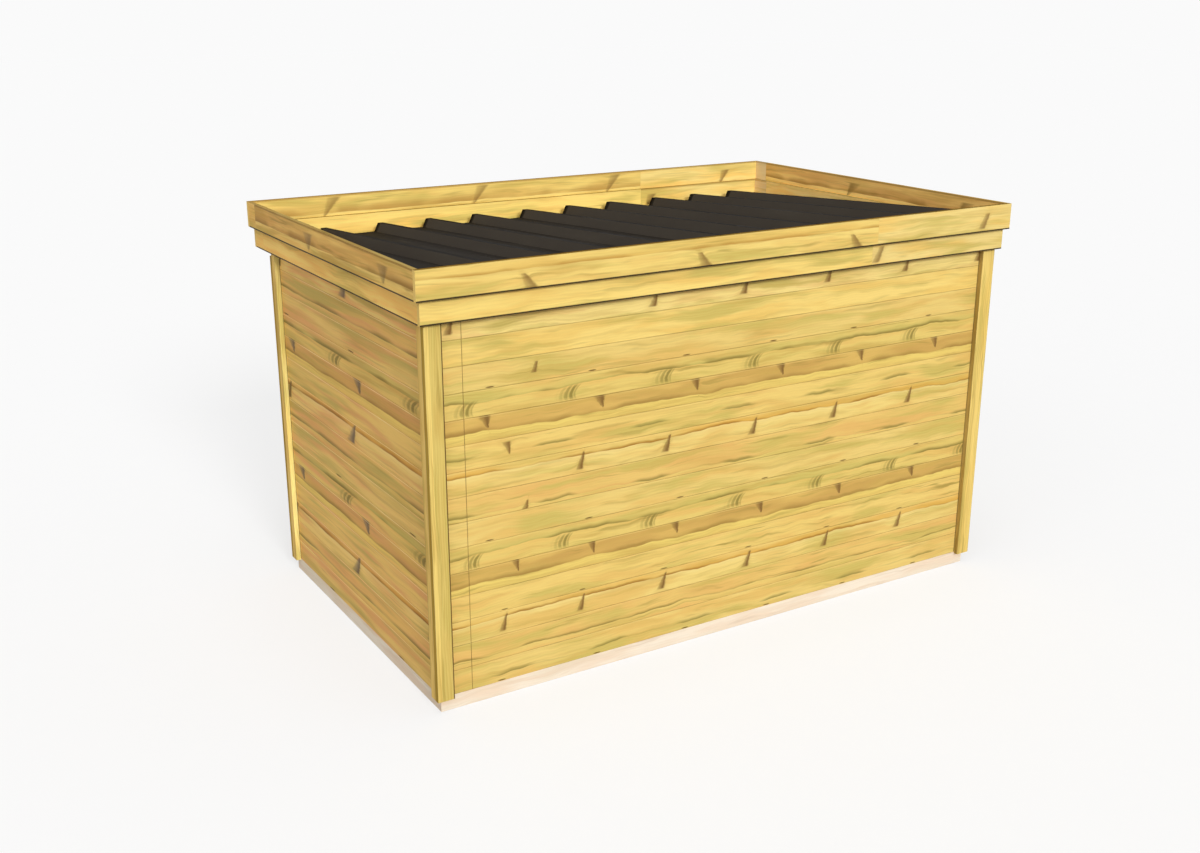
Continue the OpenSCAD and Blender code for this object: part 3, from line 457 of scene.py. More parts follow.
def timber(name, made, grain, across, depth, centre=0.0, width=None, seed=0.0, stretch=1.0,
           gloss=TIMBER_GLOSS, lean=0.0):
    """Timber with its grain along one axis, as in Y or -Y, and its figure stretched along it.
    With a width, boards of it lie side by side. With a lean, in radians, its grain is turned
    from the one axis towards the other."""
    material, g = new_material(name)
    axes = g.axes(g.place())
    beside = g.sub(axes[across], centre)
    number = seed
    if width:
        cell = g.math("ROUND", g.math("DIVIDE", beside, width))
        beside = g.sub(beside, g.times(cell, width))
        number = g.add(cell, seed)
        phase = made.get("Knot phase", 0.0)
        made = {**made, "Knot phase": g.add(g.times(cell, KNOT_SHIFT), phase)}
    wood = g.tree.nodes.new("ShaderNodeGroup")
    wood.node_tree = TIMBER
    for key, value in made.items():
        g.feed(wood.inputs[key], value)
    along = axes[grain[-1]]
    if lean:
        upright, level = along, beside
        along = g.add(g.times(upright, math.cos(lean)), g.times(level, math.sin(lean)))
        beside = g.sub(g.times(level, math.cos(lean)), g.times(upright, math.sin(lean)))
    g.feed(wood.inputs["Along"], g.times(along, (-1.0 if grain[0] == "-" else 1.0) / stretch))
    g.feed(wood.inputs["Across"], beside)
    g.feed(wood.inputs["Depth"], axes[depth])
    g.feed(wood.inputs["Seed"], number)
    finish_material(g, wood.outputs["Colour"], wood.outputs["Roughness"],
                    wood.outputs["Height"], TIMBER_BUMP, **{"Specular IOR Level": gloss})
    return material


def look(base=None, **changes):
    """A board's look: the base look with some of its values changed."""
    made = dict(base or {})
    made.update({key.replace("_", " "): value for key, value in changes.items()})
    return made


# Lip colour is that of the painted highlight along each board's top
PLAIN = look(
    Light=srgb(240, 209, 123), Warm=srgb(234, 192, 106), Green=srgb(210, 190, 100),
    Ring=srgb(206, 166, 84), Stain=srgb(164, 140, 66), Shade=srgb(206, 170, 86),
    Knot=srgb(128, 94, 46), Line_colour=srgb(160, 124, 54),
    Above_colour=srgb(226, 178, 84), Below_colour=srgb(248, 222, 132),
    Edge_colour=srgb(104, 76, 34), Lip_colour=srgb(250, 224, 140))

# The walls' boards: six looks that repeat up the wall
CALM = look(PLAIN, Shades=0.35, Stains=0.30, Pins=0.95)
ARCHED = look(PLAIN, Light=srgb(236, 206, 116), Arcs=0.90, Line=0.95,
              Line_height=0.010, Line_colour=srgb(146, 128, 60), Line_reach=0.013, Above=0.75,
              Above_colour=srgb(208, 192, 104), Above_reach=0.050, Below=0.45,
              Below_colour=srgb(240, 200, 108))
BANDED = look(PLAIN, Light=srgb(230, 192, 104), Warm=srgb(204, 162, 86),
              Green=srgb(206, 176, 92), Knots=0.95, Knot_height=0.030, Knot_slant=-0.28,
              Knot_length=0.029, Knot_width=0.0145, Knot_taper=0.75, Line=0.75,
              Line_height=-0.016, Line_colour=srgb(158, 124, 58), Line_reach=0.018,
              Above=0.66, Above_colour=srgb(206, 162, 86), Above_reach=0.16, Below=0.9,
              Below_colour=srgb(244, 216, 116), Below_reach=0.070)
STREAKED = look(PLAIN, Light=srgb(243, 210, 120), Shades=0.35, Stains=0.85,
                Stain=srgb(170, 146, 70))
SPIKED = look(PLAIN, Light=srgb(244, 215, 128), Shades=0.40, Stains=0.30, Knots=0.95,
              Line=0.95, Line_height=0.026, Line_colour=srgb(166, 118, 44), Above=0.9,
              Above_colour=srgb(230, 178, 80), Above_reach=0.060, Below=0.5,
              Below_colour=srgb(249, 226, 148))
PINKISH = look(PLAIN, Light=srgb(238, 200, 114), Warm=srgb(234, 186, 106), Shades=0.35,
               Line=0.85, Line_height=-0.026, Line_colour=srgb(146, 126, 60), Below=0.6,
               Below_colour=srgb(238, 212, 120), Above=0.3,
               Above_colour=srgb(224, 178, 100))
WALL_KINDS = [CALM, PINKISH, SPIKED, STREAKED, BANDED, ARCHED] * 2 + [
    CALM, PINKISH, look(SPIKED, Knot_length=0.034, Knot_height=0.0), STREAKED]

# The period of rows with a single knot of their own, and a line broken into dashes
LONE = 6.0
DASHED = look(Line=0.85, Line_colour=srgb(144, 130, 62), Line_reach=0.013, Dash=0.9)
# Rows of the front wall that differ from the other walls' rows
FRONT_CHANGES = {
    0: look({**CALM, **DASHED}, Line_height=-0.020, Line_phase=-0.72, Dash=0.75),
    2: look(SPIKED, Squeeze=0.25),
    3: look(STREAKED, Pins=0.85, Pin_phase=-0.409, Squeeze=0.25),
    4: look(BANDED, Squeeze=0.28),
    5: look(ARCHED, Squeeze=0.12),
    6: look(CALM, Pin_phase=-0.82),
    7: look({**PINKISH, **DASHED}, Line_height=-0.041, Line_phase=0.012, Knots=0.9,
            Knot_height=-0.038, Knot_length=0.022, Knot_width=0.010, Knot_period=LONE),
    8: look(SPIKED, Squeeze=0.20, Knots_from=-1.1),
    9: look({**STREAKED, **DASHED}, Line_height=-0.008, Knots=0.9, Stains=0.4,
            Knot_height=0.010, Knot_slant=-0.22, Knot_length=0.028, Knot_width=0.012,
            Knot_taper=0.75, Knot_period=LONE),
    10: look(BANDED, Squeeze=-0.12),
    12: look(CALM, Pin_phase=-0.80, Knots=0.85, Knot_height=0.005, Knot_slant=0.30,
             Knot_length=0.024, Knot_width=0.011, Knot_taper=-0.3, Knot_period=LONE),
    # The boards below the fascia, lighter: painted light against the shade of the overhang
    13: look(STREAKED, Light=srgb(252, 220, 128), Warm=srgb(244, 204, 110), Stains=0.25),
    TOP_ROW: look(WALL_KINDS[TOP_ROW], Light=srgb(255, 228, 142), Warm=srgb(246, 208, 128),
                  Knots_from=-0.75),
}
FRONT_KINDS = [FRONT_CHANGES.get(row, kind) for row, kind in enumerate(WALL_KINDS)]

# Where each row's first knot or arc stands: X on the front wall, -Y on the left wall, where
# the figure is drawn out
FRONT_PHASES = [-1.474, -1.274, -1.406, -1.224, -1.338, -1.484,
                -1.374, -1.136, -1.394, -1.219, -1.240, -1.409,
                -1.082, -1.524, -1.472, -1.174]
LEFT_PHASES = [0.20, 0.60, 0.06, 0.70, 0.21, -0.03,
               0.40, 0.10, 0.098, 0.55, 0.199, -0.075,
               -0.22, 0.10, 0.079, 0.80]
END_STRETCH = 1.77
# The stretch of wall between the corner boards, with painted shade where it meets them, and the
# butt joint of the make-up boards
FRONT_SEAMS = look(Ends=0.85, Ends_middle=0.0, Ends_half=1.518, Butt=0.55, Butt_at=-1.4206)
END_SEAMS = look(Ends=0.85, Ends_middle=-WALLS_MIDDLE / END_STRETCH,
                 Ends_half=0.8695 / END_STRETCH)

# Tint on faces that look along X, partly redder timber and partly painted shade colour of that
# side, how much more its colours differ, and how much larger the end walls' knots are
END_TINT = (1.09, 0.97, 0.90, 1.0)
END_CONTRAST = 1.20
END_KNOTS = 1.2
# Painted light: a lighter tint for the end walls' top row and the left lower fascia, against the
# shade of the fascia above them
UNDER_FASCIA_PAINTED_LIGHT = (1.14, 1.14, 1.18, 1.0)


def tinted(made, tint=END_TINT, contrast=1.0):
    """The same look with its colours multiplied by a tint and moved away from the light one."""
    base = made["Light"]
    return {key: tuple(b * (c / b) ** contrast * t for b, c, t in zip(base, value, tint))
            if isinstance(value, tuple) else value for key, value in made.items()}


def wall_row(name, row, kind, phase, seams, grain, depth, stretch=1.0):
    """The material of one row of a wall's boards."""
    centre = FLOOR_TOP + (row + 0.5) * BOARD_COVER
    at = phase / stretch
    places = look(Knot_phase=at, Arc_phase=at, Pin_phase=at + PIN_SHARE * FIGURE_PERIOD)
    return timber(f"{name}_row_{row + 1}", {**places, **kind, **seams}, grain, "Z", depth,
                  centre, seed=row + WALL_SEED, stretch=stretch)


def wall_rows(name, kinds, phases, *rest):
    """One material for each row of boards of a wall."""
    return [wall_row(name, row, kind, phase, *rest)
            for row, (kind, phase) in enumerate(zip(kinds, phases))]


def end_grain(name, light, dark):
    """Sawn end of a board, with arcs of growth rings."""
    pith, ring_scale = (0.013, 0.017, 0.9), 60.0
    material, g = new_material(name)
    place = g.place()
    warp = g.noise(place, scale=18.0, detail=2.0)
    from_pith = g.node("VectorMath", {0: place, 1: pith}, operation="SUBTRACT")
    rings = g.node("TexWave", {"Vector": from_pith, "Scale": ring_scale, "Distortion": 3.5,
                               "Detail": 2.0}, out=1, wave_type="RINGS")
    speck = g.noise(place, scale=700.0, detail=2.0)
    colour = g.mix(g.fade(rings, "sawn rings"), light, dark)
    colour = g.mix(g.fade(warp, "bleached"), colour, light)
    colour = g.mix(g.fade(speck, "sawn specks"), colour, dark)
    finish_material(g, colour, g.fade(speck, "sawn roughness"), speck, bump=0.25)
    return material


def steel_sheet(name, low, high, ends, reach):
    """Painted ribbed steel with faint dust in runs; painted shade darkens it towards its cut ends
    and most at the brink of the rear one."""
    dust, pale_dust = srgb(84, 78, 69), srgb(92, 86, 77)
    end_shade_colour, brink_shade_colour = srgb(20, 17, 15), srgb(12, 9, 6)
    end_share, brink_share, speck_rough = 0.85, 0.9, 0.08
    runs_across, runs_along = 26.0, 1.6
    # How far from the ends the painted shade begins, and how far from them it is full
    front_dark, rear_dark, brink = (0.040, 0.012), (reach, 0.66 * reach), (0.026, 0.014)
    material, g = new_material(name)
    place = g.place()
    cloud = g.noise(place, scale=2.3, detail=4.0, rough=0.6)
    speck = g.noise(place, scale=420.0, detail=2.0)
    axes = g.axes(place)
    run_at = g.point(g.times(axes["X"], runs_across), g.times(axes["Y"], runs_along), 0.0)
    run = g.noise(run_at, detail=3.0)
    colour = g.mix(g.fade(cloud, "steel clouds"), low, high)
    colour = g.mix(g.fade(run, "dust runs"), colour, dust)
    colour = g.mix(g.fade(speck, "dust specks"), colour, pale_dust)
    front_end = g.step(axes["Y"], *(ends[0] + far for far in front_dark))
    rear_end = g.step(axes["Y"], *(ends[1] - far for far in rear_dark))
    either_end = g.math("MAXIMUM", front_end, rear_end)
    colour = g.mix(g.times(either_end, end_share), colour, end_shade_colour)
    at_brink = g.step(axes["Y"], *(ends[1] - far for far in brink))
    colour = g.mix(g.times(at_brink, brink_share), colour, brink_shade_colour)
    rough = g.add(g.fade(cloud, "steel roughness"), g.times(speck, speck_rough))
    finish_material(g, colour, rough, speck, bump=0.02, **{"Specular IOR Level": 0.04})
    return material


def metal(name, light, dark, roughness, metallic, bump=0.05):
    """Metal fittings with a slight mottle and worn grain, which vary the roughness."""
    smoother, rougher, grain_rough, mottle_height = 0.06, 0.08, 0.06, 0.5
    material, g = new_material(name)
    place = g.place()
    mottle = g.noise(place, scale=55.0, detail=4.0, rough=0.6)
    speck = g.noise(place, scale=900.0, detail=2.0)
    colour = g.mix(g.step(mottle, *NOISE_RANGE), light, dark)
    rough = g.add(g.step(mottle, *NOISE_RANGE, roughness - smoother, roughness + rougher),
                  g.times(speck, grain_rough))
    finish_material(g, colour, rough, g.add(g.times(mottle, mottle_height), speck), bump,
                    Metallic=metallic)
    return material


# Roof sheets: how many, their fall for each metre towards the back, their ribs' height, and
# how far to the side the normal of a rib's flank leans
ROOF_SHEETS = 4
ROOF_FALL = math.tan(math.radians(4.0))
RIB_HEIGHT = 0.044
FLANK_LEAN = 0.5
# Faces narrower than this get no lines along their edges
NARROW = 0.040
# Butt joints of the fascia's boards: X of the long ones, Y of the end ones
FASCIA_JOINTS = {"upper": (0.750, 0.9235), "lower": (0.740, 0.8865)}
# Near-black painted shade in the gap under each fascia board, drawn along their edges too
FASCIA_GAP_SHADE = srgb(44, 32, 16)
# Painted light: lighter tints for the right fascia, whose inner face is in the shade, and for the
# back one
RIGHT_PAINTED_LIGHT = (1.16, 1.16, 1.26, 1.0)
BACK_PAINTED_LIGHT = (1.08, 1.08, 1.04, 1.0)
# Tints of the narrow faces: painted shade on the fascia's top edges, darker on some sides than
# on others, painted light on the strips' edges and painted shade on the corner boards' edges
FASCIA_NARROW = {"front": (0.26, 0.21, 0.13, 1.0), "left": (0.48, 0.46, 0.50, 1.0),
                 "back": (0.34, 0.28, 0.17, 1.0), "right": (0.46, 0.42, 0.34, 1.0)}
STRIP_NARROW = (1.22, 1.36, 1.66, 1.0)
CORNER_NARROW = {"left": (0.70, 0.68, 0.56, 1.0), "right": (0.56, 0.61, 0.70, 1.0)}

# Floor and frames: the heights of their timber's middles and edges, the spacing of what
# repeats, the threshold's X and half the walls' length
RIM_MIDDLE = 0.025
JOIST_SPACING = 0.34
DECK_COVER = 0.1219
THRESHOLD_MIDDLE = 1.54
STUD_SPACING = 0.70
END_STUD_SPACING = 0.60
FLOOR_PLATE_TOP = FLOOR_TOP + 0.039
TOP_PLATE_FOOT = 1.66
ROOF_TIMBER_MIDDLE = 1.85
HALF_LENGTH = 1.574

# The doors: their width and planks, then each one's first Y, its knots' height and its
# braces' lean in radians, and the height and spacing of the ledges
DOOR_WIDTH = 0.6135
DOOR_PLANKS = 6
DOOR_PLANK = DOOR_WIDTH / DOOR_PLANKS
DOORS = (("front", -0.681, 0.3, 0.69), ("back", -0.0645, 0.55, -0.69))
LEDGE_MIDDLE = 0.222
LEDGE_SPACING = 0.654


# Which material each face of a node gets

def dress(node, materials, choose=None):
    """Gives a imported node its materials; choose picks one by a face's centre and normal."""
    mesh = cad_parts[node].data
    mesh.materials.clear()
    for material in materials:
        mesh.materials.append(material)
    for face in mesh.polygons:
        face.material_index = choose(face.center, face.normal) if choose else 0


def board_faces(name, made, grain, box, seed, narrow_tint):
    """Materials for a straight board's two pairs of long faces."""
    low, high = box
    at = "XYZ".index(grain[-1])
    pairs = [pair for pair in ((0, 1), (1, 0), (0, 2), (2, 0), (1, 2), (2, 1)) if at not in pair]
    faces = []
    for across, depth in pairs:
        half = (high[across] - low[across]) / 2
        face = look(made, **{"Half width": half})
        # Narrow faces lose their marks and take the narrow tint of painted light and shade
        if half < NARROW / 2:
            face = tinted(look(face, Edge=0.0, Foot=0.0, Head=0.0, Lip=0.0, Knots=0.0,
                               Line=0.0, Above=0.0, Below=0.0), narrow_tint)
        # Faces that look along X take the end tint, partly painted shade colour of that side
        if depth == 0:
            face = tinted(face, contrast=END_CONTRAST)
        faces.append(timber(f"{name}_{'xyz'[across]}", face, grain, "XYZ"[across],
                            "XYZ"[depth], low[across] + half, seed=seed,
                            gloss=TIMBER_GLOSS if half > NARROW / 2 else 0.0))
    return faces


def dress_board(node, made, grain, cut, narrow_tint, seed=0.0, joint=None, short=None):
    """Dresses a straight board from its own box. Past the joint its second length starts."""
    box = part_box(node)
    at = "XYZ".index(grain[-1])
    across_at = 1 if at == 0 else 0
    materials = board_faces(node, made, grain, box, seed, narrow_tint)
    if short:
        materials += board_faces(f"{node}_short", short, grain, box, seed + SECOND_SEED,
                                 narrow_tint)

    def choose(centre, normal):
        if abs(normal[at]) > END_FACE:
            return len(materials)
        second = 2 if short and centre[at] > joint else 0
        return second + int(abs(normal[across_at]) > END_FACE)

    dress(node, materials + [cut], choose)


def dress_walls():
    front = wall_rows("front", FRONT_KINDS, FRONT_PHASES, FRONT_SEAMS, "X", "Y")
    # The end walls' boards: redder, with a stronger and paler painted highlight along their tops
    redder = look(Warm=srgb(232, 180, 112), Green=srgb(202, 184, 100), Edge=0.05, Lip=0.8,
                  Line_reach=0.018, Rings=0.12, Stains=0.30, Wander=0.6,
                  Knot=srgb(112, 90, 42), Lip_colour=srgb(255, 232, 160))
    end_kinds = [tinted({**kind, **redder}, contrast=END_CONTRAST) for kind in WALL_KINDS]
    end_kinds[TOP_ROW] = tinted(end_kinds[TOP_ROW], UNDER_FASCIA_PAINTED_LIGHT)
    for kind in end_kinds:
        for size in ("Knot length", "Knot width"):
            kind[size] = END_KNOTS * kind.get(size, TIMBER_NUMBERS[size])
    left = wall_rows("end", end_kinds, LEFT_PHASES, END_SEAMS, "-Y", "X", END_STRETCH)
    cut = end_grain("board_end", srgb(236, 200, 122), srgb(206, 166, 90))

    def row_of(axis):
        """Chooses a face's row by its height; the sawn ends face along the axis."""
        def choose(centre, normal):
            if abs(normal[axis]) > END_FACE:
                return BOARD_ROWS
            row = int((centre.z - FLOOR_TOP) / BOARD_COVER)
            return min(max(row, 0), BOARD_ROWS - 1)
        return choose

    for node in ("front_wall_boards", "back_wall_boards"):
        dress(node, front + [cut], row_of(0))
    # The make-up panel's top row has the knot that the rest of the row lacks
    makeup = list(front)
    knotted = look(FRONT_KINDS[TOP_ROW], Knots_from=TIMBER_NUMBERS["Knots from"])
    makeup[TOP_ROW] = wall_row("makeup", TOP_ROW, knotted, FRONT_PHASES[TOP_ROW], FRONT_SEAMS,
                               "X", "Y")
    dress("front_makeup_boards", makeup + [cut], row_of(0))
    for node in ("left_wall_boards", "right_wall_boards"):
        dress(node, left + [cut], row_of(1))


def dress_trim():
    # The trim's strong dark edge lines are painted shade where the boards stand proud of the wall
    trim = look(PLAIN, Light=srgb(232, 204, 116), Warm=srgb(224, 190, 100), Rings=0.6,
                Ring=srgb(200, 162, 78), Stains=0.45, Shades=0.4, Edge=0.75,
                Edge_reach=0.0034, Edge_colour=srgb(92, 66, 28))
    boards = {
        # On the left boards the dark head runs along the edge beside the wall: painted shade
        "left": look(trim, Light=srgb(226, 200, 112), Warm=srgb(222, 192, 104), Below=0.8,
                     Below_colour=srgb(252, 220, 126), Below_reach=0.06, Line_height=-0.018,
                     Wander=0.15, Head=0.92, Head_reach=0.0062,
                     Line_colour=srgb(84, 60, 24)),
        "right": look(trim, Light=srgb(248, 216, 124), Warm=srgb(242, 206, 110), Edge=0.5)}
    strip = look(trim, Light=srgb(244, 218, 128), Warm=srgb(238, 206, 112), Edge=0.5)
    cut = end_grain("trim_end", srgb(232, 198, 118), srgb(204, 164, 88))
    seed = 1.0
    for side in ("front", "back"):
        for name, board in boards.items():
            dress_board(f"{side}_{name}_corner_board", board, "Z", cut, CORNER_NARROW[name],
                        seed)
            dress_board(f"{name}_{side}_corner_strip", strip, "Z", cut, STRIP_NARROW,
                        seed + SECOND_SEED)
            seed += 1.0


def dress_fascia():
    # Foot draws painted shade along each fascia board's foot, in the gap's shade colour
    upper = look(PLAIN, Light=srgb(248, 217, 125), Warm=srgb(238, 198, 109), Knots=0.75,
                 Knot_slant=-0.62, Knot_length=0.033, Knot_width=0.021, Knot_taper=-0.45,
                 Knot_height=-0.030, Knot_period=0.876, Line=0.75, Line_height=0.022,
                 Line_reach=0.012, Line_colour=srgb(190, 142, 62), Above=0.7,
                 Above_reach=0.07, Above_colour=srgb(234, 192, 98), Below=0.5,
                 Foot=0.97, Edge_colour=FASCIA_GAP_SHADE, Wander=0.40)
    # Boards that show the other way up, with the tan band at the foot and the knots' broad
    # ends at the top
    turned = look(upper, Knots=0.62, Knot_slant=0.62, Knot_length=0.050, Knot_width=0.021,
                  Knot_taper=0.70, Knot_height=0.004, Head=0.7, Line_height=-0.028,
                  Line_reach=0.034, Line_colour=srgb(180, 138, 66), Above_reach=0.075,
                  Above_colour=srgb(214, 172, 90), Below=0.9)
    banded = look(turned, Knot_slant=-0.05, Knot_length=0.038, Knot_height=-0.006,
                  Knot_width=0.034, Line_height=-0.020, Line_colour=srgb(158, 124, 56),
                  Line_reach=0.026, Above=0.85, Above_colour=srgb(214, 170, 94),
                  Above_reach=0.16, Line=0.7, Knot=srgb(122, 98, 32))
    # The lower boards' lighter colour is painted light against the shade of the upper fascia
    lower = look(PLAIN, Light=srgb(255, 223, 128), Warm=srgb(246, 204, 110), Shades=0.30,
                 Stains=0.3, Foot=0.97, Edge_colour=FASCIA_GAP_SHADE, Wander=0.6)
    pale = look(lower, Light=srgb(248, 220, 138), Knots=0.75, Knot_period=1.9, Knot_slant=0.5,
                Knot_length=0.038, Knot_width=0.019, Knot_taper=-0.2, Knot_height=-0.010)
    # The dark head along the top of these boards and of the turned ones is painted shade
    dull = look(pale, Light=srgb(216, 204, 153), Warm=srgb(210, 192, 140), Head=0.5)
    lofty = look(pale, Knot_taper=0.6, Head=0.6)
    cut = end_grain("fascia_end", srgb(250, 214, 122), srgb(238, 196, 102))
    # Each side's two lengths: their looks, and where along the board their knots stand
    boards = (
        ("upper", "front", upper, -1.146, pale, 1.460),
        ("upper", "left", banded, -0.154, pale, 0.30),
        ("upper", "back", turned, -1.210, lofty, 1.361),
        ("upper", "right", look(banded, Knot_slant=-0.8, Knot_width=0.026), 0.128, dull, 0.30),
        ("lower", "front", lower, 0.0, pale, 0.781),
        ("lower", "left", tinted(lower, UNDER_FASCIA_PAINTED_LIGHT), 0.0, tinted(lower, UNDER_FASCIA_PAINTED_LIGHT), 0.0),
        ("lower", "back", lower, 0.0, lofty, 0.800),
        ("lower", "right", look(lower, Light=srgb(240, 216, 136)), 0.0, dull, 0.30))
    seeds_apart = 2.0
    for number, (tier, side, made, knots_at, short, short_at) in enumerate(boards):
        grain = {"front": "X", "back": "X", "left": "-Y", "right": "Y"}[side]
        made, short = look(made, Knot_phase=knots_at), look(short, Knot_phase=short_at)
        if side in ("right", "back"):
            tint = RIGHT_PAINTED_LIGHT if side == "right" else BACK_PAINTED_LIGHT
            made, short = (tinted(one, tint) for one in (made, short))
        joint = FASCIA_JOINTS[tier][grain[-1] == "Y"]
        dress_board(f"{tier}_fascia_{side}", made, grain, cut, FASCIA_NARROW[side],
                    number * seeds_apart, joint, short)


def dress_floor():
    pale = look(PLAIN, Light=srgb(253, 238, 216), Warm=srgb(247, 222, 194),
                Green=srgb(244, 228, 202), Ring=srgb(236, 210, 182), Stain=srgb(228, 204, 176),
                Shade=srgb(240, 216, 186), Knot=srgb(190, 160, 130), Edge=0.2,
                Edge_colour=srgb(214, 186, 156), Below_colour=srgb(254, 240, 220))
    along_x = timber("rim_long", pale, "X", "Z", "Y", RIM_MIDDLE, seed=2.0)
    along_y = timber("rim_short", pale, "Y", "Z", "X", RIM_MIDDLE, seed=5.0)
    dress("floor_rim", [along_x, along_y], lambda centre, normal: int(abs(normal.x) > END_FACE))
    joist = timber("joist", pale, "Y", "X", "Z", width=JOIST_SPACING, seed=1.0)
    dress("floor_joists", [joist])
    deck = timber("deck", look(PLAIN, Light=srgb(240, 216, 160), Warm=srgb(224, 190, 130)),
                  "X", "Y", "Z", WALLS_MIDDLE, width=DECK_COVER, seed=11.0)
    dress("floor_boards", [deck])
    dress("threshold", [timber("threshold", PLAIN, "Y", "X", "Z", THRESHOLD_MIDDLE, seed=4.0)])


def dress_frames():
    rough_look = look(PLAIN, Light=srgb(240, 212, 150), Warm=srgb(224, 188, 122), Rings=0.5,
                      Stains=0.15)
    upright = timber("stud", rough_look, "Z", "X", "Y", width=STUD_SPACING, seed=1.0)
    upright_end = timber("end_stud", rough_look, "Z", "Y", "X", width=END_STUD_SPACING,
                         seed=6.0)
    level_x = timber("plate_long", rough_look, "X", "Z", "Y", seed=2.0)
    level_y = timber("plate_short", rough_look, "Y", "Z", "X", seed=8.0)

    def level(centre, normal):
        return int(centre.z < FLOOR_PLATE_TOP or centre.z > TOP_PLATE_FOOT)

    for node in ("front_wall_frame", "back_wall_frame"):
        dress(node, [upright, level_x], level)
    for node in ("left_wall_frame", "right_wall_frame", "door_posts"):
        dress(node, [upright_end, level_y], level)
    dress("rafters", [timber("rafter", rough_look, "Y", "Z", "X", ROOF_TIMBER_MIDDLE,
                             seed=14.0)])
    for node in ("eaves_blocks", "roof_battens"):
        dress(node, [timber(node, rough_look, "X", "Z", "Y", ROOF_TIMBER_MIDDLE,
                            seed=len(node))])
    dress("fascia_battens", [level_x, level_y],
          lambda centre, normal: int(abs(centre.x) > HALF_LENGTH))


def dress_doors():
    face = look(PLAIN, Stains=0.4, Knots=0.8, Knot_period=0.62, Knot_slant=0.35,
                Knot_length=0.028, Knot_width=0.012, Knot_taper=-0.5,
                **{"Half width": DOOR_PLANK / 2})
    back = look(PLAIN, Light=srgb(240, 212, 146), Warm=srgb(226, 190, 122))
    for side, start, knots_at, lean in DOORS:
        boards = timber(f"{side}_door_board", look(face, Knot_phase=knots_at), "Z", "Y", "X",
                        start + DOOR_PLANK / 2, width=DOOR_PLANK, seed=4.0)
        dress(f"{side}_door_boards", [boards])
        ledge = timber(f"{side}_ledge", back, "Y", "Z", "X", LEDGE_MIDDLE,
                       width=LEDGE_SPACING, seed=3.0)
        dress(f"{side}_door_ledges", [ledge])
        brace = timber(f"{side}_brace", back, "Z", "Y", "X", seed=9.0, lean=lean)
        dress(f"{side}_door_braces", [brace])


def dress_roof():
    low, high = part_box("roof_sheet_1")
    ends = (low.y, high.y)
    # How far the painted shade reaches from the rear end
    on_flank, on_flat = 0.045, 0.080
    # One paint in three tones: the pans and the crests darker than the flanks, as painted shade
    flanks = steel_sheet("roof_steel_flanks", srgb(64, 58, 51), srgb(69, 63, 55), ends, on_flank)
    pans = steel_sheet("roof_steel_pans", srgb(31, 26, 20), srgb(36, 31, 24), ends, on_flat)
    crests = steel_sheet("roof_steel_crests", srgb(16, 13, 10), srgb(21, 17, 13), ends, on_flat)
    for number in range(1, ROOF_SHEETS + 1):
        node = f"roof_sheet_{number}"
        foot = min(face.center.z + face.center.y * ROOF_FALL
                   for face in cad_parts[node].data.polygons)

        def part_of_rib(centre, normal):
            if abs(normal.x) > FLANK_LEAN:
                return 0
            height = centre.z + centre.y * ROOF_FALL - foot
            return 1 if height < RIB_HEIGHT / 2 else 2

        dress(node, [flanks, pans, crests], part_of_rib)
    dress("roof_screws", [metal("screw_paint", srgb(58, 52, 46), srgb(46, 42, 38),
                                roughness=0.5, metallic=0.0)])


def dress_fittings():
    iron = metal("black_iron_coat", srgb(34, 33, 33), srgb(24, 23, 23), roughness=0.48,
                 metallic=0.0, bump=0.08)
    for node in ("hinge_wall_plates", "hinge_pins", "hinge_wall_screws", "front_door_straps",
                 "front_door_screws", "back_door_straps", "back_door_screws", "door_handle"):
        dress(node, [iron])
    zinc = metal("zinc_plate", srgb(196, 198, 198), srgb(170, 172, 174), roughness=0.36,
                 metallic=1.0)
    for node in ("pad_bolt_housing", "pad_bolt", "pad_bolt_keep", "tower_bolt_housings",
                 "top_tower_bolt", "bottom_tower_bolt"):
        dress(node, [zinc])


# Studio

def light_path_share(g):
    """1 for rays that show the backdrop: straight to the camera, mirrored or through glass."""
    path = g.tree.nodes.new("ShaderNodeLightPath")
    shown = g.math("MAXIMUM", path.outputs["Is Camera Ray"], path.outputs["Is Glossy Ray"])
    return g.math("MAXIMUM", shown, path.outputs["Is Transmission Ray"])


def make_world():
    world = bpy.data.worlds.new("studio")
    bpy.context.scene.world = world
    world.use_nodes = True
    world.node_tree.nodes.clear()
    g = Graph(world.node_tree)
    soft = g.node("Background", {"Color": WHITE, "Strength": AMBIENT})
    shown = g.node("Background", {"Color": WHITE, "Strength": BACKDROP})
    g.show(g.node("MixShader", {0: light_path_share(g), 1: soft, 2: shown}), "World")


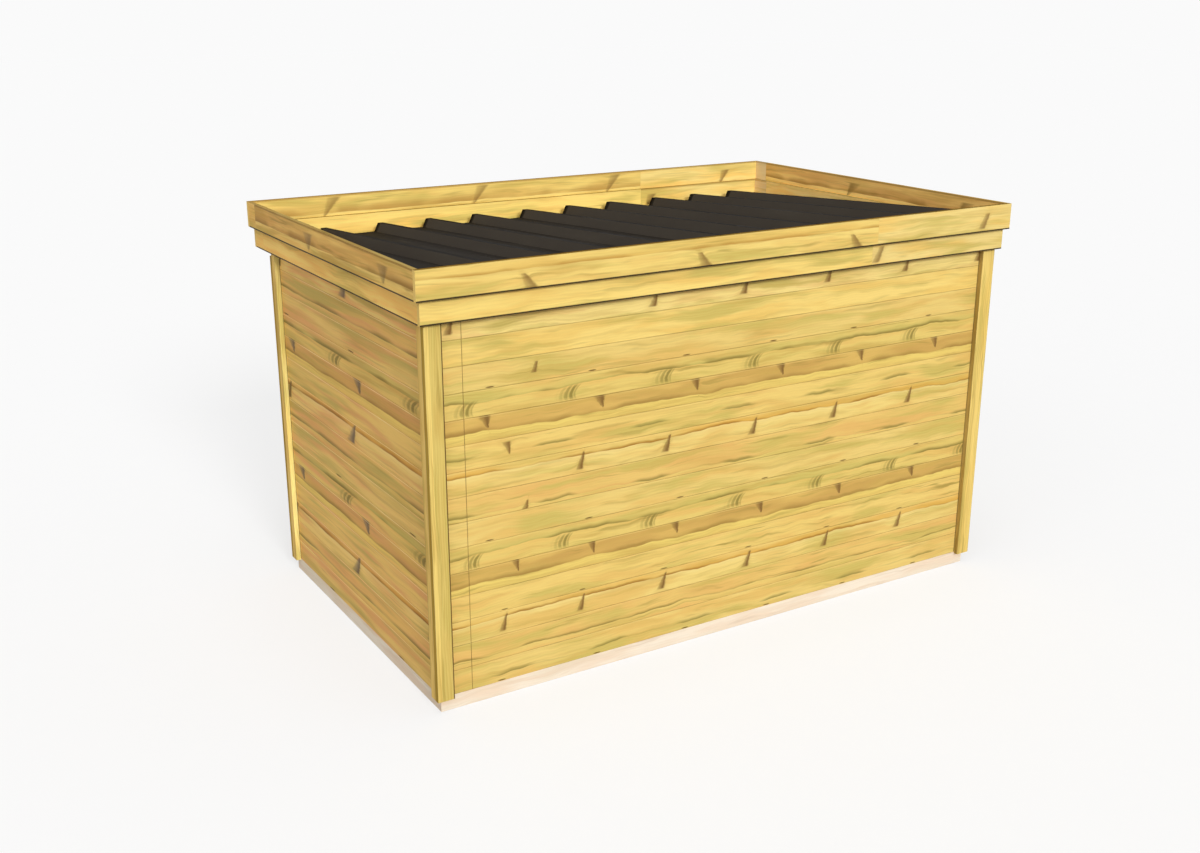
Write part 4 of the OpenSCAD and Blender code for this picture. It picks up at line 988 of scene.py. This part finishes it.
def make_floor():
    mesh = bpy.data.meshes.new("floor")
    shape = bmesh.new()
    bmesh.ops.create_grid(shape, x_segments=FLOOR_CELLS, y_segments=FLOOR_CELLS,
                          size=FLOOR_REACH)
    shape.to_mesh(mesh)
    shape.free()
    floor = bpy.data.objects.new("floor", mesh)
    bpy.context.scene.collection.objects.link(floor)
    floor.location.z = -FLOOR_DROP
    material, g = new_material("floor_paint")
    speck = g.noise(g.place(), scale=6.0, detail=2.0)
    tone = g.step(speck, *NOISE_RANGE, FLOOR_TONE - FLOOR_MOTTLE, FLOOR_TONE + FLOOR_MOTTLE)
    lit = g.node("BsdfDiffuse", {"Color": g.grey(tone)})
    glow = g.node("Emission", {"Strength": BACKDROP})
    seen = g.node("MixShader", {0: SHADOW_SHARE, 1: glow, 2: lit})
    bounce = g.node("BsdfDiffuse", {"Color": (FLOOR_BOUNCE,) * 3 + (1.0,)})
    g.show(g.node("MixShader", {0: light_path_share(g), 1: bounce, 2: seen}))
    mesh.materials.append(material)


def make_sun(name, direction, strength, spread):
    light = bpy.data.lights.new(name, "SUN")
    light.energy = strength
    light.angle = math.radians(spread)
    sun = bpy.data.objects.new(name, light)
    bpy.context.scene.collection.objects.link(sun)
    x, y, z = direction
    sun.rotation_euler = (math.atan2(math.hypot(x, y), -z), 0.0, math.atan2(-x, y))


def make_camera():
    lens = bpy.data.cameras.new("camera")
    lens.lens = CAMERA_LENS
    lens.sensor_width = CAMERA_SENSOR
    lens.clip_end = CAMERA_REACH
    camera = bpy.data.objects.new("camera", lens)
    bpy.context.scene.collection.objects.link(camera)
    camera.location = CAMERA_PLACE
    camera.rotation_euler = (math.radians(CAMERA_TILT), 0.0, math.radians(CAMERA_TURN))
    bpy.context.scene.camera = camera


make_camera()
make_world()
make_floor()
make_sun("key", KEY_DIRECTION, KEY_STRENGTH, KEY_SPREAD)
make_sun("top", TOP_DIRECTION, TOP_STRENGTH, TOP_SPREAD)
make_sun("fill", FILL_DIRECTION, FILL_STRENGTH, FILL_SPREAD)
bpy.context.scene.view_settings.view_transform = "Standard"

dress_walls()
dress_trim()
dress_fascia()
dress_floor()
dress_frames()
dress_doors()
dress_roof()
dress_fittings()
